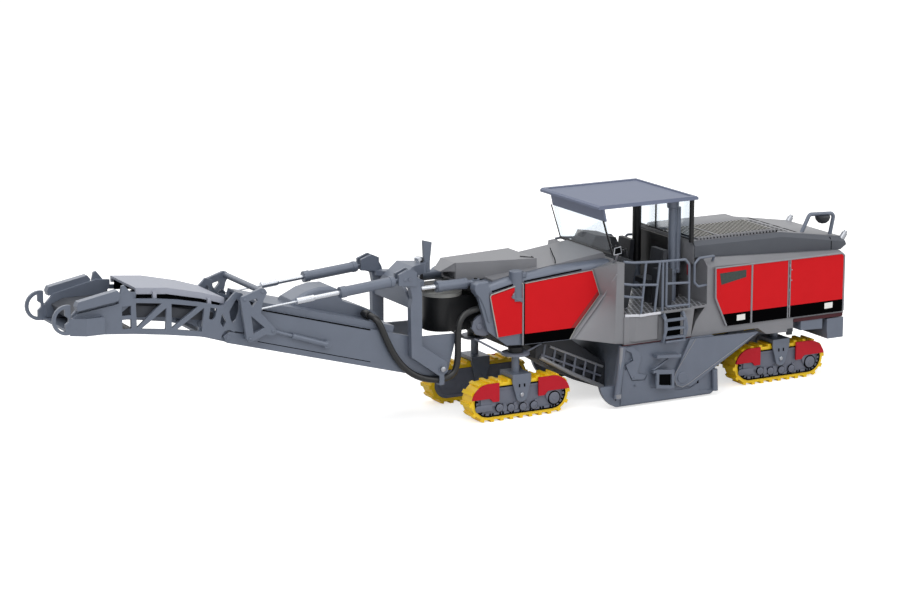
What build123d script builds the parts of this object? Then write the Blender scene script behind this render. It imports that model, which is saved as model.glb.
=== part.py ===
from build123d import *
import math
import os

os.makedirs("parts", exist_ok=True)

# Display model of a cold planer, in millimetres, nose towards +X, left side +Y.
# Stations along the machine are counted from the front legs and written (station, height).

# Track units
axle_gap = 28.2          # between the two end rounds of one track
shoe_radius = 7.0        # outer face of the shoe plates at the end rounds
lug_height = 0.9
shoe_thickness = 1.4
shoe_count = 24
lug_length = 1.5
belt_width = 7.4
axle_height = shoe_radius + lug_height
frame_fit = 0.05         # between the belt and the frame it runs on
frame_radius = shoe_radius - shoe_thickness - frame_fit
frame_width = 7.0
rim_proud = 0.4          # link rim standing out of the frame's side
rim_width = 1.2
hub_radius = 3.0
hub_proud = 0.55
roller_radius = 1.25
roller_pitch = 4.6
roller_count = 4
guard_thickness = 0.7
guard_radius = shoe_radius + 0.3
guard_front_inner = 9.6  # inner ends of the guards from the track's middle
guard_rear_inner = 7.6
guard_tab = 2.6          # tab below the inner end of a guard
guard_slope = 1.5
guard_edge = 1.6         # lower edges of a guard and of its tab, above the axle
guard_tab_edge = 0.1
fork_gap = 0.25          # between the fork and what it straddles
fork_wall = 0.75
fork_top_thickness = 1.5
fork_half_top = 4.0
fork_half_low = 2.4
pin_height = 9.1
pin_radius = 0.8
pin_fit = 0.05
pin_proud = 0.25
column_radius = 1.5

# Front body
body_half = 17.2         # outside of the front side walls

# Legs
leg_inset = 1.2          # middle of a leg inside the front side wall
leg_half_gauge = body_half - leg_inset
rear_leg = -119.2

# Front panels
panel_thickness = 0.8
cowl_wall = 1.6
cowl_front = 17.6
cowl_rear = -41.0
cowl_line = [(cowl_front, 50.9), (3.9, 54.0), (-16.5, 56.4), (cowl_rear, 57.1)]
cowl_skin = 1.5
cowl_lower = [(15.9, 45.0), (12.6, 34.6), (4.5, 28.4), (-2.6, 27.8), (-22.7, 27.5)]
seam_station = -2.5
seam_gap = 0.8
panel_top_front = 48.3
front_bottom = 27.5

# Middle body and operator's platform
recess_front = -41.0
recess_rear = -80.5
wide_half = 26.0         # outside of the rear side panels
skirt_half = 26.4
skirt_bottom = 25.0
skirt_wall = 1.6
deck_height = 37.0
deck_thickness = 1.0
deck_half = 28.6
deck_step_rear = -58.0
bulge_front = -44.4      # the skirt's bulge beside the steps
bulge_bottom = skirt_bottom + 1.2
bulge_rear = -57.6
bulge_out = 1.1
nose_step = -47.6        # the deck's edge in front of the steps
ladder_half = 27.9

# Rear body
rear_end = -146.0
rear_top_edge = 51.6
rear_shelf = 54.6
shelf_half = 22.0
rear_bottom = 27.2
rear_wall = 2.0
hood_half = 20.6
hood_top_front = 60.9
hood_break = -119.0
hood_tail = -150.0
band_height = 4.9
rear_seams = [-101.0, -118.8]
panel_front_top = -84.0
panel_front_bottom = -89.3
panel_rear = -145.0

# Canopy
roof_front = -32.7
roof_rear = -77.8
roof_half = 22.1
roof_top = 79.4
roof_thickness = 1.5
post_station = -72.0
post_half_gauge = 13.0
post_radius = 1.7
glass_thickness = 0.5

# Drum and its housing
drum_station = -61.0
drum_height = 11.6
drum_core = 7.4
drum_half = 21.0
tooth_reach = 1.9
tooth_rows = 11
teeth_per_row = 6
shaft_radius = 2.5
shaft_fit = 0.05
housing_front = -42.5
housing_rear = -80.3
housing_half = 24.9
housing_wall = 2.2
housing_low = 4.5
side_plate_wall = 1.5
side_plate_low = 0.9

# Turret and slewing frame
turret_station = 23.4
turret_radius = 7.4
turret_low = 34.0
turret_top = 47.2
ring_radius = 7.9
ring_thickness = 1.5
slew_station = 32.2
yoke_inner = 14.3
yoke_wall = 2.6
king_radius = 0.9

# Conveyor: measured along and across its rear section from the lift pivot
boom_pivot = (slew_station, 22.6)
boom_pitch = 15.4
boom_half = 13.9
boom_wall = 1.1
boom_low = -4.35
boom_high = 9.7
boom_tail = -4.5
boom_end = 86.0
wall_end = 81.7
cover_rise = 2.6
fold_along = 88.4
fold_across = -2.3
lift_pin_radius = 1.5
lift_pin_fit = 0.05

# Lift cylinders
lift_foot = (46.1, 58.3)
lift_eye = (107.6, 53.2)
lift_half_gauge = 15.4
lift_barrel_radius = 1.9
lift_rod_radius = 0.9
lift_rod_fit = 0.06
lift_barrel_end = 28.0
lift_bore_start = 13.5
lift_rod_start = 20.5
lift_clevis_start = 39.0
lift_clevis_end = 45.5
wire_radius = 0.35

# Slewing cylinders
slew_foot = (14.1, 52.6)
slew_eye = (39.0, 52.6)
slew_half_gauge = 10.0
slew_barrel_radius = 2.0
slew_rod_radius = 0.9
slew_rod_fit = 0.06
slew_barrel_start = 4.0
slew_barrel_end = 17.0
slew_bore_start = 5.2
slew_rod_start = 10.8

# Tip of the conveyor
tip_ring_station = 179.3
tip_ring_height = 57.0
tip_ring_radius = 5.4
tip_ring_bar = 1.2

# Furthest point behind the legs
pipe_station = -151.0
pipe_height = 58.0
pipe_radius = 0.85
pipe_length = 6.0
pipe_lean = 35.0

# Track details
idler_block = (6.4, 3.4)
roller_height = 4.8
front_column_top = 26.6
rear_column_top = 22.8
collar_height = 1.4
collar_radius = 2.9
flange_radius = 5.4
column_fit = 0.06

# Front body details
shoulder_radius = 2.4
nose_gap_fit = 0.2       # between the cowl's front edge and the duct's box
cowl_low = 27.5
cowl_nose = [(-22.7, 27.5), (-2.6, 27.8), (4.5, 28.4), (12.6, 34.6), (15.9, 45.0)]
block_front = 11.5
block_low = 27.2
block_nose = (3.4, 33.6)
spine_top = deck_height - 1.5
spine_half = 14.0
nose_gap_half = 13.2
nose_gap_start = 9.5
bracket_low = 49.2
bracket_wall = 1.4
bracket_reach = 16.2
bracket_half = 12.4
foot_half = 1.2
foot_eye_radius = 1.6
rear_low = 24.6
deck_top_half = 13.6
deck_rise = 2.4
deck_nose = 0.8
duct_start = 9.0
duct_front = 20.2
duct_rear = -12.0
duct_half = 5.7
duct_tail_half = 11.0
duct_low = 52.5
duct_high = 59.8
duct_tail_low = 54.0
duct_tail_high = 59.4
beak_reach = 5.2         # the duct's nose in front of its box
beak_low = 56.4
beak_half = 2.6
duct_window = (9.0, 2.6, 2.0)   # width, height and depth of the opening in the box
sleeve_proud = 0.6
sleeve_low = 45.3
sleeve_high = 56.6

# Panels
front_band_top = 32.2
rear_panel_top = 50.6

# Hood louvres, tail fittings
slat_count = 24
slat_start = -80.5
slat_pitch = 1.55
slat_width = 0.7
slat_proud = 0.9
slat_base = 0.35
slat_half = 15.5
pipe_half_gauge = 18.7
loop_foot = 56.5
loop_top = 65.4
loop_radius = 0.8

# Platform fittings
rail_radius = 0.5
rail_out = 27.3
ladder_front = -58.6
ladder_rear = -67.4
ladder_low = 24.6
ladder_out = 29.6
seat_height = 47.0
console_front = -44.6
corner_post_station = -76.2
corner_post_half = 20.0
screen_top_station = -36.2
screen_low_station = -40.6
screen_low = 59.6
screen_half = 19.6
fascia_low = roof_top - 6.8
rear_glass_low = 62.0
post_bar = 0.9

# Side plates and carrier arms
side_plate_half = 26.5
guide_radius = 1.3
panel_proud = 0.4
bracket_proud = 0.9
arm_wall = 1.2
arm_eye = (-68.2, 9.4)
arm_eye_radius = 3.8
loader_half = 12.0

# Turret ears and slewing frame details
ear_low = 50.6
ear_wall = 1.4
ear_half = 3.0
king_top = 62.0
king_fit = 0.05
nose_lug_inner = 12.2
king_lug_low = 56.4
king_lug_half = 2.6
king_lug_height = 4.0
king_gusset = 39.0
web_front = 44.8
web_wall = 1.5
web_top = 55.6
web_half = 6.5
flag_top = 68.6
flag_wall = 1.4
foot_pin_radius = 0.7
eye_radius = 1.8
eye_bore = 1.2
eye_half = 1.0
eye_gap = 0.5
eye_pin_radius = 0.45

# Clevises, pins and hooks of the lift cylinders
clevis_gap = 0.2
clevis_wall = 1.1
lift_eye_half = 0.8
lift_eye_radius = 2.0
lift_neck_radius = 0.7
lift_foot_pin = 0.7
lift_barrel_start = 5.6
pin_engage = 1.2
hook_bore = 0.95
hook_pin_radius = 0.35

# Hose from the nose to the conveyor, held by a clip under the slewing frame
hose_radius = 1.1
hose_fit = 0.05
hose_gauge = 15.2
hose_low = 18.0
hose_split = 32.2
clip_rear = 31.2
clip_front = 33.2
clip_low = 16.3
clip_top = 20.2

# Conveyor details
hopper_rise = 6.0
cover_start = 22.0
cover_end = 80.0
hump_half = 6.0
fold_pin_radius = 0.9
fold_engage = 1.5
fold_fit = 0.1
notch_radius = 2.7
knee_inner = 16.0
knee_wall = 1.4
fold_cylinder_radius = 1.0
tower_rear = 155.3
tower_front = 158.6
window_side = 3.4
tower_windows = [51.4, 56.2]
tip_start = 178.0
ring_flat = 180.0
box_low = 51.2
box_high = 57.4
box_out = 3.2
bar_out = 2.0
cover_half = 11.9
cover_sheet = 0.9
cover_drop = 2.3
cover_feet = [(124.0, 58.6), (145.0, 63.4)]
belt_gap = 0.3
truss_windows = [
    [(153.4, 60.4), (143.6, 59.2), (153.2, 51.4)],
    [(141.8, 57.4), (142.2, 49.6), (151.6, 50.8)],
    [(139.8, 58.6), (129.6, 56.6), (139.9, 49.8)],
    [(127.2, 55.8), (128.3, 47.2), (138.0, 49.0)],
    [(124.8, 55.6), (122.2, 54.9), (123.0, 51.8), (124.2, 51.0), (125.4, 51.6)],
    [(120.3, 52.9), (121.1, 49.7), (119.9, 47.8), (118.7, 49.8)],
    [(117.4, 53.4), (114.5, 57.8), (113.4, 56.4), (113.6, 52.6), (114.8, 50.0), (116.2, 48.9), (117.0, 50.6)],
]

nose_reach = tip_ring_station + tip_ring_radius
tail_reach = -pipe_station + pipe_radius * math.cos(math.radians(pipe_lean))
x0 = (tail_reach - nose_reach) / 2


# Planes seen from the left side, from above and from the nose
def side(y):
    return Plane(origin=(x0, y, 0), x_dir=(1, 0, 0), z_dir=(0, -1, 0))


def level(z):
    return Plane(origin=(x0, 0, z))


def across(x):
    return Plane(origin=(x0 + x, 0, 0), x_dir=(0, 1, 0), z_dir=(1, 0, 0))


# A plate between two distances from the middle, from its side outline
def plate(points, inner, outer):
    with BuildSketch(side(outer)) as face:
        Polygon(*points, align=None)
    extrude(face.sketch, amount=outer - inner)


# A round bar along a route of points, with its corners bent
def tube(points, radius, bend):
    moved = [(x0 + x, y, z) for x, y, z in points]
    with BuildLine() as route:
        if len(points) > 2:
            FilletPolyline(*moved, radius=bend)
        else:
            Line(*moved)
    with BuildSketch(Plane(origin=route.line @ 0, z_dir=route.line % 0)) as section:
        Circle(radius)
    sweep(section.sketch, path=route.line)


# A round bar between two points in one side plane
def rod(start, end, y, radius, inner=0, mode=Mode.ADD):
    a = Vector(x0 + start[0], y, start[1])
    b = Vector(x0 + end[0], y, end[1])
    with BuildSketch(Plane(origin=a, z_dir=b - a)) as section:
        Circle(radius)
        if inner:
            Circle(inner, mode=Mode.SUBTRACT)
    extrude(section.sketch, amount=(b - a).length, mode=mode)


# A disc across the machine
def disc(centre, radius, low, high, mode=Mode.ADD):
    with BuildSketch(side(high)) as face:
        with Locations(centre):
            Circle(radius)
    extrude(face.sketch, amount=high - low, mode=mode)


# Height of the cowl's top line at a station
def cowl_top(station):
    for (a, za), (b, zb) in zip(cowl_line, cowl_line[1:]):
        if b <= station <= a:
            return za + (zb - za) * (station - a) / (b - a)
    return cowl_line[0][1] if station > cowl_front else cowl_line[-1][1]


# Place and turn of a shoe along the loop, from the lower front round backwards
loop_length = 2 * axle_gap + 2 * math.pi * shoe_radius
half_gap = axle_gap / 2


def loop_place(along):
    turn = math.pi * shoe_radius
    if along < axle_gap:
        return (half_gap - along, -shoe_radius, 0)
    along -= axle_gap
    if along < turn:
        angle = along / shoe_radius
        return (-half_gap - shoe_radius * math.sin(angle), -shoe_radius * math.cos(angle), -math.degrees(angle))
    along -= turn
    if along < axle_gap:
        return (along - half_gap, shoe_radius, 180)
    angle = (along - axle_gap) / shoe_radius
    return (half_gap + shoe_radius * math.sin(angle), shoe_radius * math.cos(angle), 180 - math.degrees(angle))


# One track unit, made about its own leg: faces that its pieces share
frame_face = frame_width / 2
rim_face = frame_face + rim_proud
hub_face = frame_face + hub_proud
fork_inner = hub_face + fork_gap
fork_outer = fork_inner + fork_wall
fork_low = 2 * axle_height + fork_gap
fork_top = fork_low + fork_top_thickness

with BuildPart() as belt:
    with BuildSketch(Plane.XZ):
        with Locations((0, axle_height)):
            SlotCenterToCenter(axle_gap, 2 * shoe_radius)
        for k in range(shoe_count):
            u, v, turn = loop_place((k + 0.5) * loop_length / shoe_count)
            with Locations(Location((u, axle_height + v), turn)):
                Rectangle(lug_length, 2 * lug_height)
        with Locations((0, axle_height)):
            SlotCenterToCenter(axle_gap, 2 * (shoe_radius - shoe_thickness), mode=Mode.SUBTRACT)
    extrude(amount=belt_width / 2, both=True)

with BuildPart() as frame:
    with BuildSketch(Plane.XZ):
        with Locations((0, axle_height)):
            SlotCenterToCenter(axle_gap, 2 * frame_radius)
    extrude(amount=frame_face, both=True)
    with BuildSketch(Plane.XZ):
        with Locations((0, axle_height)):
            SlotCenterToCenter(axle_gap, 2 * frame_radius)
            SlotCenterToCenter(axle_gap, 2 * (frame_radius - rim_width), mode=Mode.SUBTRACT)
    extrude(amount=rim_face, both=True)
    with BuildSketch(Plane.XZ):
        with Locations((-half_gap, axle_height)):
            Circle(hub_radius)
        with Locations((half_gap, axle_height)):
            Rectangle(idler_block[0], idler_block[1])
        for k in range(roller_count):
            along = (k - (roller_count - 1) / 2) * roller_pitch
            with Locations((along, roller_height)):
                Circle(roller_radius)
            with Locations((along, roller_height + roller_radius)):
                Rectangle(roller_radius, roller_radius)
    extrude(amount=hub_face, both=True)
    with BuildSketch(Plane.XZ):
        with Locations((0, pin_height)):
            Circle(pin_radius + pin_fit)
    extrude(amount=fork_outer, both=True, mode=Mode.SUBTRACT)

# Guards stand on the outer side only: two ends of a slot, each with a tab below its inner end
guard_reach = half_gap + guard_radius + 1
guard_cut = [
    (-guard_reach, -guard_reach),
    (guard_reach, -guard_reach),
    (guard_reach, guard_edge),
    (guard_front_inner + guard_tab + guard_slope, guard_edge),
    (guard_front_inner + guard_tab, guard_tab_edge),
    (guard_front_inner, guard_tab_edge),
    (guard_front_inner, guard_reach),
    (-guard_rear_inner, guard_reach),
    (-guard_rear_inner, guard_tab_edge),
    (-guard_rear_inner - guard_tab, guard_tab_edge),
    (-guard_rear_inner - guard_tab - guard_slope, guard_edge),
    (-guard_reach, guard_edge),
]
with BuildPart() as guard:
    with BuildSketch(Plane.XZ.offset(-hub_face - guard_thickness)):
        with Locations((0, axle_height)):
            SlotCenterToCenter(axle_gap, 2 * guard_radius)
        Polygon(*[(x, axle_height + z) for x, z in guard_cut], align=None, mode=Mode.SUBTRACT)
    extrude(amount=guard_thickness)

with BuildPart() as fork:
    with BuildSketch(Plane.XZ):
        with BuildLine():
            Polyline(
                (-fork_half_low, pin_height),
                (-fork_half_top, fork_low - fork_top_thickness),
                (-fork_half_top, fork_top),
                (fork_half_top, fork_top),
                (fork_half_top, fork_low - fork_top_thickness),
                (fork_half_low, pin_height),
            )
            ThreePointArc((fork_half_low, pin_height), (0, pin_height - fork_half_low), (-fork_half_low, pin_height))
        make_face()
    extrude(amount=fork_outer, both=True)
    with BuildSketch(Plane.XZ):
        with Locations((0, fork_low / 2)):
            Rectangle(4 * fork_half_top, fork_low)
    extrude(amount=fork_inner, both=True, mode=Mode.SUBTRACT)
    with BuildSketch(Plane.XZ):
        with Locations((0, pin_height)):
            Circle(pin_radius)
    extrude(amount=fork_outer + pin_proud, both=True)

# Four track units: label, station of the leg, side, top of the column, top of the collar that holds it
legs = [
    ("front_left", 0.0, 1, front_column_top, block_low),
    ("front_right", 0.0, -1, front_column_top, block_low),
    ("rear_left", rear_leg, 1, rear_column_top, rear_low),
    ("rear_right", rear_leg, -1, rear_column_top, rear_low),
]
for label, station, hand, column_top, collar_top in legs:
    here = Location((x0 + station, hand * leg_half_gauge, 0))
    for kind, master in (("belt", belt), ("frame", frame)):
        with BuildPart() as copy:
            add(master.part.moved(here))
        copy.part.label = f"track_{kind}_{label}"
        export_step(copy.part, f"parts/track_{kind}_{label}.step")

    with BuildPart() as copy:
        add(guard.part.moved(here) if hand > 0 else guard.part.mirror(Plane.XZ).moved(here))
    copy.part.label = f"track_guard_{label}"
    export_step(copy.part, f"parts/track_guard_{label}.step")

    with BuildPart() as copy:
        add(fork.part.moved(here))
        with BuildSketch(level(fork_top)):
            with Locations((station, hand * leg_half_gauge)):
                Circle(column_radius)
        extrude(amount=column_top - fork_top)
    copy.part.label = f"track_leg_{label}"
    export_step(copy.part, f"parts/track_leg_{label}.step")


# Front cowl: slate top skin, rounded shoulders and the slanted nose cheeks
with BuildPart() as nose_cowl:
    plate(cowl_line + [(cowl_rear, cowl_low)] + cowl_nose, -body_half, body_half)
    upper = [e for e in nose_cowl.edges() if abs(e.center().Z - cowl_top(e.center().X - x0)) < 0.3]
    fillet([e for e in upper if abs(abs(e.center().Y) - body_half) < 0.01], radius=shoulder_radius)
    hollow = [(cowl_front, cowl_top(cowl_front) - cowl_skin)]
    hollow += [(x, z - cowl_skin) for x, z in cowl_line[1:]]
    hollow += [(cowl_rear, 0), (2 * cowl_front, 0), (2 * cowl_front, cowl_top(cowl_front) - cowl_skin)]
    with BuildSketch(side(body_half - cowl_wall)):
        Polygon(*hollow, align=None)
    extrude(amount=2 * (body_half - cowl_wall), mode=Mode.SUBTRACT)
    with BuildSketch(level(cowl_low)):
        with Locations((nose_gap_start + cowl_front, 0)):
            Rectangle(2 * cowl_front, 2 * nose_gap_half)
    extrude(amount=cowl_front * 2, mode=Mode.SUBTRACT)
nose_cowl.part.label = "nose_cowl"
export_step(nose_cowl.part, "parts/nose_cowl.step")

# Black inner block under the cowl, spine along the machine and collars over the legs
with BuildPart() as main_frame:
    block = [(block_front, cowl_top(block_front) - cowl_skin)]
    block += [(x, z - cowl_skin) for x, z in cowl_line[1:]]
    block += [(cowl_rear, block_low), (block_nose[0], block_low), (block_front, block_nose[1])]
    plate(block, cowl_wall - body_half, body_half - cowl_wall)
    plate([(cowl_rear, spine_top), (recess_rear, spine_top), (recess_rear, skirt_bottom), (cowl_rear, skirt_bottom)],
          -spine_half, spine_half)
    plate([(recess_rear, spine_top), (rear_end + rear_wall, spine_top), (rear_end + rear_wall, rear_low),
           (recess_rear, rear_low)], -spine_half, spine_half)
    for label, station, hand, column_top, collar_top in legs:
        low = column_top - collar_height
        with BuildSketch(level(low)):
            with Locations((station, hand * leg_half_gauge)):
                Circle(collar_radius)
        extrude(amount=collar_top - low)
        with BuildSketch(level(low)):
            with Locations((station, hand * leg_half_gauge)):
                Circle(column_radius + column_fit)
        extrude(amount=collar_height + column_fit, mode=Mode.SUBTRACT)
main_frame.part.label = "main_frame"
export_step(main_frame.part, "parts/main_frame.step")

# Hood deck and the long raised duct on it
with BuildPart() as front_duct:
    deck = [(x, z) for x, z in cowl_line[1:]]
    plate([(duct_start, cowl_top(duct_start))] + deck + [(cowl_rear, cowl_top(cowl_rear) + deck_rise),
          (duct_start, cowl_top(duct_start) + deck_nose)], -deck_top_half, deck_top_half)
    with BuildSketch(across(duct_front)) as nose_end:
        Polygon((-duct_half, duct_low), (duct_half, duct_low), (duct_half, duct_high),
                (-duct_half, duct_high), align=None)
    with BuildSketch(across(duct_rear)) as tail_end:
        Polygon((-duct_tail_half, duct_tail_low), (duct_tail_half, duct_tail_low),
                (duct_tail_half, duct_tail_high), (-duct_tail_half, duct_tail_high), align=None)
    loft(sections=[nose_end.sketch, tail_end.sketch], ruled=True)
    with BuildSketch(level(beak_low)) as beak_foot:
        Polygon((duct_front - 0.5, -duct_half), (duct_front + beak_reach, -beak_half),
                (duct_front + beak_reach, beak_half), (duct_front - 0.5, duct_half), align=None)
    with BuildSketch(level(duct_high)) as beak_top:
        Polygon((duct_front - 0.5, -duct_half), (duct_front + 0.4, -duct_half),
                (duct_front + 0.4, duct_half), (duct_front - 0.5, duct_half), align=None)
    loft(sections=[beak_foot.sketch, beak_top.sketch], ruled=True)
    with BuildSketch(across(duct_front - duct_window[2])) as window:
        with Locations((0, (duct_low + beak_low) / 2)):
            Rectangle(duct_window[0], duct_window[1])
    extrude(window.sketch, amount=2 * duct_window[2], mode=Mode.SUBTRACT)
    with BuildSketch(side(body_half)) as under:
        Polygon((duct_front + 10, 0), (duct_front + 10, duct_low), (cowl_front + nose_gap_fit, duct_low),
                (cowl_front + nose_gap_fit, cowl_top(cowl_front)), (cowl_front, cowl_top(cowl_front)), *deck,
                (cowl_rear, 0), align=None)
    extrude(under.sketch, amount=2 * body_half, mode=Mode.SUBTRACT)
front_duct.part.label = "front_duct"
export_step(front_duct.part, "parts/front_duct.step")

# Half-round sleeves of the legs, proud of the front panels, each with its cap
panel_face = body_half + panel_thickness
with BuildPart() as column_sleeves:
    with BuildSketch(level(sleeve_low)):
        with Locations((0, leg_half_gauge)):
            Circle(panel_face + sleeve_proud - leg_half_gauge)
        with Locations((0, panel_face - 10)):
            Rectangle(20, 20, mode=Mode.SUBTRACT)
    extrude(amount=sleeve_high - sleeve_low)
    mirror(about=Plane.XZ)
column_sleeves.part.label = "column_sleeves"
export_step(column_sleeves.part, "parts/column_sleeves.step")

# Red side panels: two on each front side, three on each rear side
front_panel_nose = [(12.0, 48.4), (seam_station + seam_gap / 2, 51.6), (seam_station + seam_gap / 2, 32.6), (8.6, 32.2)]
front_panel_main = [
    (seam_station - seam_gap / 2, 51.5),
    (-32.5, 53.6),
    (-35.8, 44.0),
    (-25.3, front_band_top),
    (seam_station - seam_gap / 2, front_band_top),
]
band_top = rear_bottom + band_height
slant = (panel_front_bottom - panel_front_top) / (rear_panel_top - rear_bottom)
cut = [panel_front_top] + rear_seams + [panel_rear]
with BuildPart() as side_panels:
    plate(front_panel_nose, body_half, body_half + panel_thickness)
    plate(front_panel_main, body_half, body_half + panel_thickness)
    for k in range(3):
        first = cut[k] - (seam_gap / 2 if k else 0)
        last = cut[k + 1] + (seam_gap / 2 if k < 2 else 0)
        low_first = first + slant * (rear_panel_top - band_top) if k == 0 else first
        plate([(first, rear_panel_top), (last, rear_panel_top), (last, band_top), (low_first, band_top)],
              wide_half - panel_thickness, wide_half)
    mirror(about=Plane.XZ)
side_panels.part.label = "side_panels"
export_step(side_panels.part, "parts/side_panels.step")

# Black bands under the red panels
with BuildPart() as lower_bands:
    plate([(seam_station - seam_gap / 2, front_band_top), (-25.3, front_band_top), (-22.7, 27.9),
           (seam_station - seam_gap / 2, 28.2)], body_half, body_half + panel_thickness)
    for k in range(3):
        first = cut[k] - (seam_gap / 2 if k else 0)
        last = cut[k + 1] + (seam_gap / 2 if k < 2 else 0)
        high_first = first + slant * (rear_panel_top - band_top) if k == 0 else first
        low_first = panel_front_bottom if k == 0 else first
        plate([(high_first, band_top), (last, band_top), (last, rear_bottom), (low_first, rear_bottom)],
              wide_half - panel_thickness, wide_half)
    mirror(about=Plane.XZ)
lower_bands.part.label = "lower_bands"
export_step(lower_bands.part, "parts/lower_bands.step")

# Middle body: flared flanks behind the front panels and the skirt under the platform
with BuildPart() as mid_body:
    with BuildSketch(side(body_half)) as near_face:
        Polygon((-32.9, 54.2), (-36.3, 44.0), (-23.1, 27.9), (cowl_rear - 1, 27.9), (cowl_rear - 1, 56.5), align=None)
    with BuildSketch(side(wide_half)) as far_face:
        Polygon((-38.9, 57.2), (-38.4, 44.0), (-38.0, 26.0), (cowl_rear - 1, 25.4), (cowl_rear - 1, 57.4), align=None)
    loft(sections=[near_face.sketch, far_face.sketch], ruled=True)
    plate([(cowl_rear - 1, deck_height - deck_thickness), (deck_step_rear - 16, deck_height - deck_thickness),
           (deck_step_rear - 14.5, skirt_bottom), (cowl_rear - 1, skirt_bottom)], skirt_half - skirt_wall, skirt_half)
    with BuildSketch(level(bulge_bottom)) as bulge:
        Polygon((bulge_front, skirt_half - 0.8), (bulge_front, skirt_half), (bulge_front - 2.2, skirt_half + bulge_out),
                (bulge_rear + 1.2, skirt_half + bulge_out), (bulge_rear, skirt_half), (bulge_rear, skirt_half - 0.8),
                align=None)
    extrude(bulge.sketch, amount=deck_height - deck_thickness - 0.2 - bulge_bottom)
    mirror(about=Plane.XZ)
    plate([(cowl_rear, spine_top), (cowl_rear, 57.1), (cowl_rear - skirt_wall, 57.1), (cowl_rear - skirt_wall, spine_top)],
          -body_half, body_half)
mid_body.part.label = "mid_body"
export_step(mid_body.part, "parts/mid_body.step")

# Rear housing: walls with a shelf at the top, closed at front and rear
rear_outline = [
    (recess_rear, rear_top_edge),
    (rear_end, rear_top_edge - 1.5),
    (rear_end, rear_bottom - 1),
    (-109.0, skirt_bottom - 0.5),
    (deck_step_rear - 15.2, skirt_bottom - 0.5),
    (deck_step_rear - 17.4, 30.4),
    (recess_rear, deck_height),
]
with BuildPart() as rear_body:
    plate(rear_outline, panel_thickness - wide_half, wide_half - panel_thickness)
    with BuildSketch(across(recess_rear)) as shelf:
        Polygon((-wide_half + panel_thickness, rear_top_edge), (wide_half - panel_thickness, rear_top_edge),
                (shelf_half, rear_shelf), (-shelf_half, rear_shelf), align=None)
    with BuildSketch(across(rear_end)) as shelf_tail:
        Polygon((-wide_half + panel_thickness, rear_top_edge - 1.5), (wide_half - panel_thickness, rear_top_edge - 1.5),
                (shelf_half, rear_shelf - 3.4), (-shelf_half, rear_shelf - 3.4), align=None)
    loft(sections=[shelf.sketch, shelf_tail.sketch], ruled=True)
    with BuildSketch(side(wide_half - panel_thickness - rear_wall)) as hollow:
        Polygon((recess_rear - rear_wall, rear_top_edge - 3), (rear_end + rear_wall, rear_top_edge - 4.5),
                (rear_end + rear_wall, rear_low - 5), (recess_rear - rear_wall, rear_low - 5), align=None)
    extrude(hollow.sketch, amount=2 * (wide_half - panel_thickness - rear_wall), mode=Mode.SUBTRACT)
    with BuildSketch(side(spine_half)) as passage:
        Polygon((deck_step_rear, spine_top), (recess_rear - rear_wall - 1, spine_top),
                (recess_rear - rear_wall - 1, 0), (deck_step_rear, 0), align=None)
    extrude(passage.sketch, amount=2 * spine_half, mode=Mode.SUBTRACT)
    for hand in (-1, 1):
        low, high = sorted((hand * (leg_half_gauge + collar_radius + 0.4), hand * (wide_half - panel_thickness)))
        plate([(rear_leg + 15.2, rear_bottom), (rear_leg + 15.2, 25.0), (rear_leg + 10.2, 21.6),
               (rear_leg - 2.6, 21.2), (rear_leg - 2.6, rear_bottom)], low, high)
rear_body.part.label = "rear_body"
export_step(rear_body.part, "parts/rear_body.step")

# Engine hood with chamfered upper edges and a falling tail
lean = math.radians(pipe_lean)
pipe_foot = (pipe_station + pipe_length * math.sin(lean), pipe_height - pipe_length * math.cos(lean))
hood_outline = [
    (recess_rear + 3.0, rear_shelf + 0.2),
    (recess_rear + 3.0, hood_top_front),
    (hood_break, hood_top_front - 0.3),
    (hood_tail + 1.2, 56.0),
    (hood_tail, 53.0),
    (rear_end - 1.0, rear_shelf - 3.6),
]
with BuildPart() as engine_hood:
    plate(hood_outline, -hood_half, hood_half)
    ridge = [e for e in engine_hood.edges() if abs(abs(e.center().Y) - hood_half) < 0.01 and e.center().Z > 57.5]
    chamfer([e for e in ridge if e.length > 20], length=1.6)
    with BuildSketch(side(2 * hood_half)):
        Polygon((recess_rear + 10, 0), (recess_rear + 10, rear_shelf + 0.2), (recess_rear, rear_shelf),
                (rear_end, rear_shelf - 3.4), (rear_end - 20, rear_shelf - 3.4), (rear_end - 20, 0), align=None)
    extrude(amount=4 * hood_half, mode=Mode.SUBTRACT)
    for hand in (-1, 1):
        rod(pipe_foot, (pipe_station, pipe_height), hand * pipe_half_gauge, pipe_radius, mode=Mode.SUBTRACT)
engine_hood.part.label = "engine_hood"
export_step(engine_hood.part, "parts/engine_hood.step")

# Louvre slats across the hood's top in two fields
with BuildPart() as hood_grilles:
    for k in range(slat_count):
        station = slat_start - k * slat_pitch
        plate([(station, hood_top_front - 0.1), (station, hood_top_front + slat_proud),
               (station - slat_width, hood_top_front + slat_proud), (station - slat_width, hood_top_front - 0.1)],
              -slat_half, slat_half)
    plate([(slat_start, hood_top_front), (slat_start, hood_top_front + slat_base),
           (slat_start - slat_count * slat_pitch, hood_top_front + slat_base),
           (slat_start - slat_count * slat_pitch, hood_top_front)], -slat_half, slat_half)
    with BuildSketch(side(2 * hood_half)):
        Polygon((recess_rear + 3, 50), (recess_rear + 3, hood_top_front), (hood_break, hood_top_front - 0.3),
                (hood_break, 50), align=None)
    extrude(amount=4 * hood_half, mode=Mode.SUBTRACT)
hood_grilles.part.label = "hood_grilles"
export_step(hood_grilles.part, "parts/hood_grilles.step")

# Exhaust tips leaning back out of the tail
with BuildPart() as exhausts:
    rod(pipe_foot, (pipe_station, pipe_height), pipe_half_gauge, pipe_radius, pipe_radius - 0.3)
    mirror(about=Plane.XZ)
exhausts.part.label = "exhausts"
export_step(exhausts.part, "parts/exhausts.step")

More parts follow.
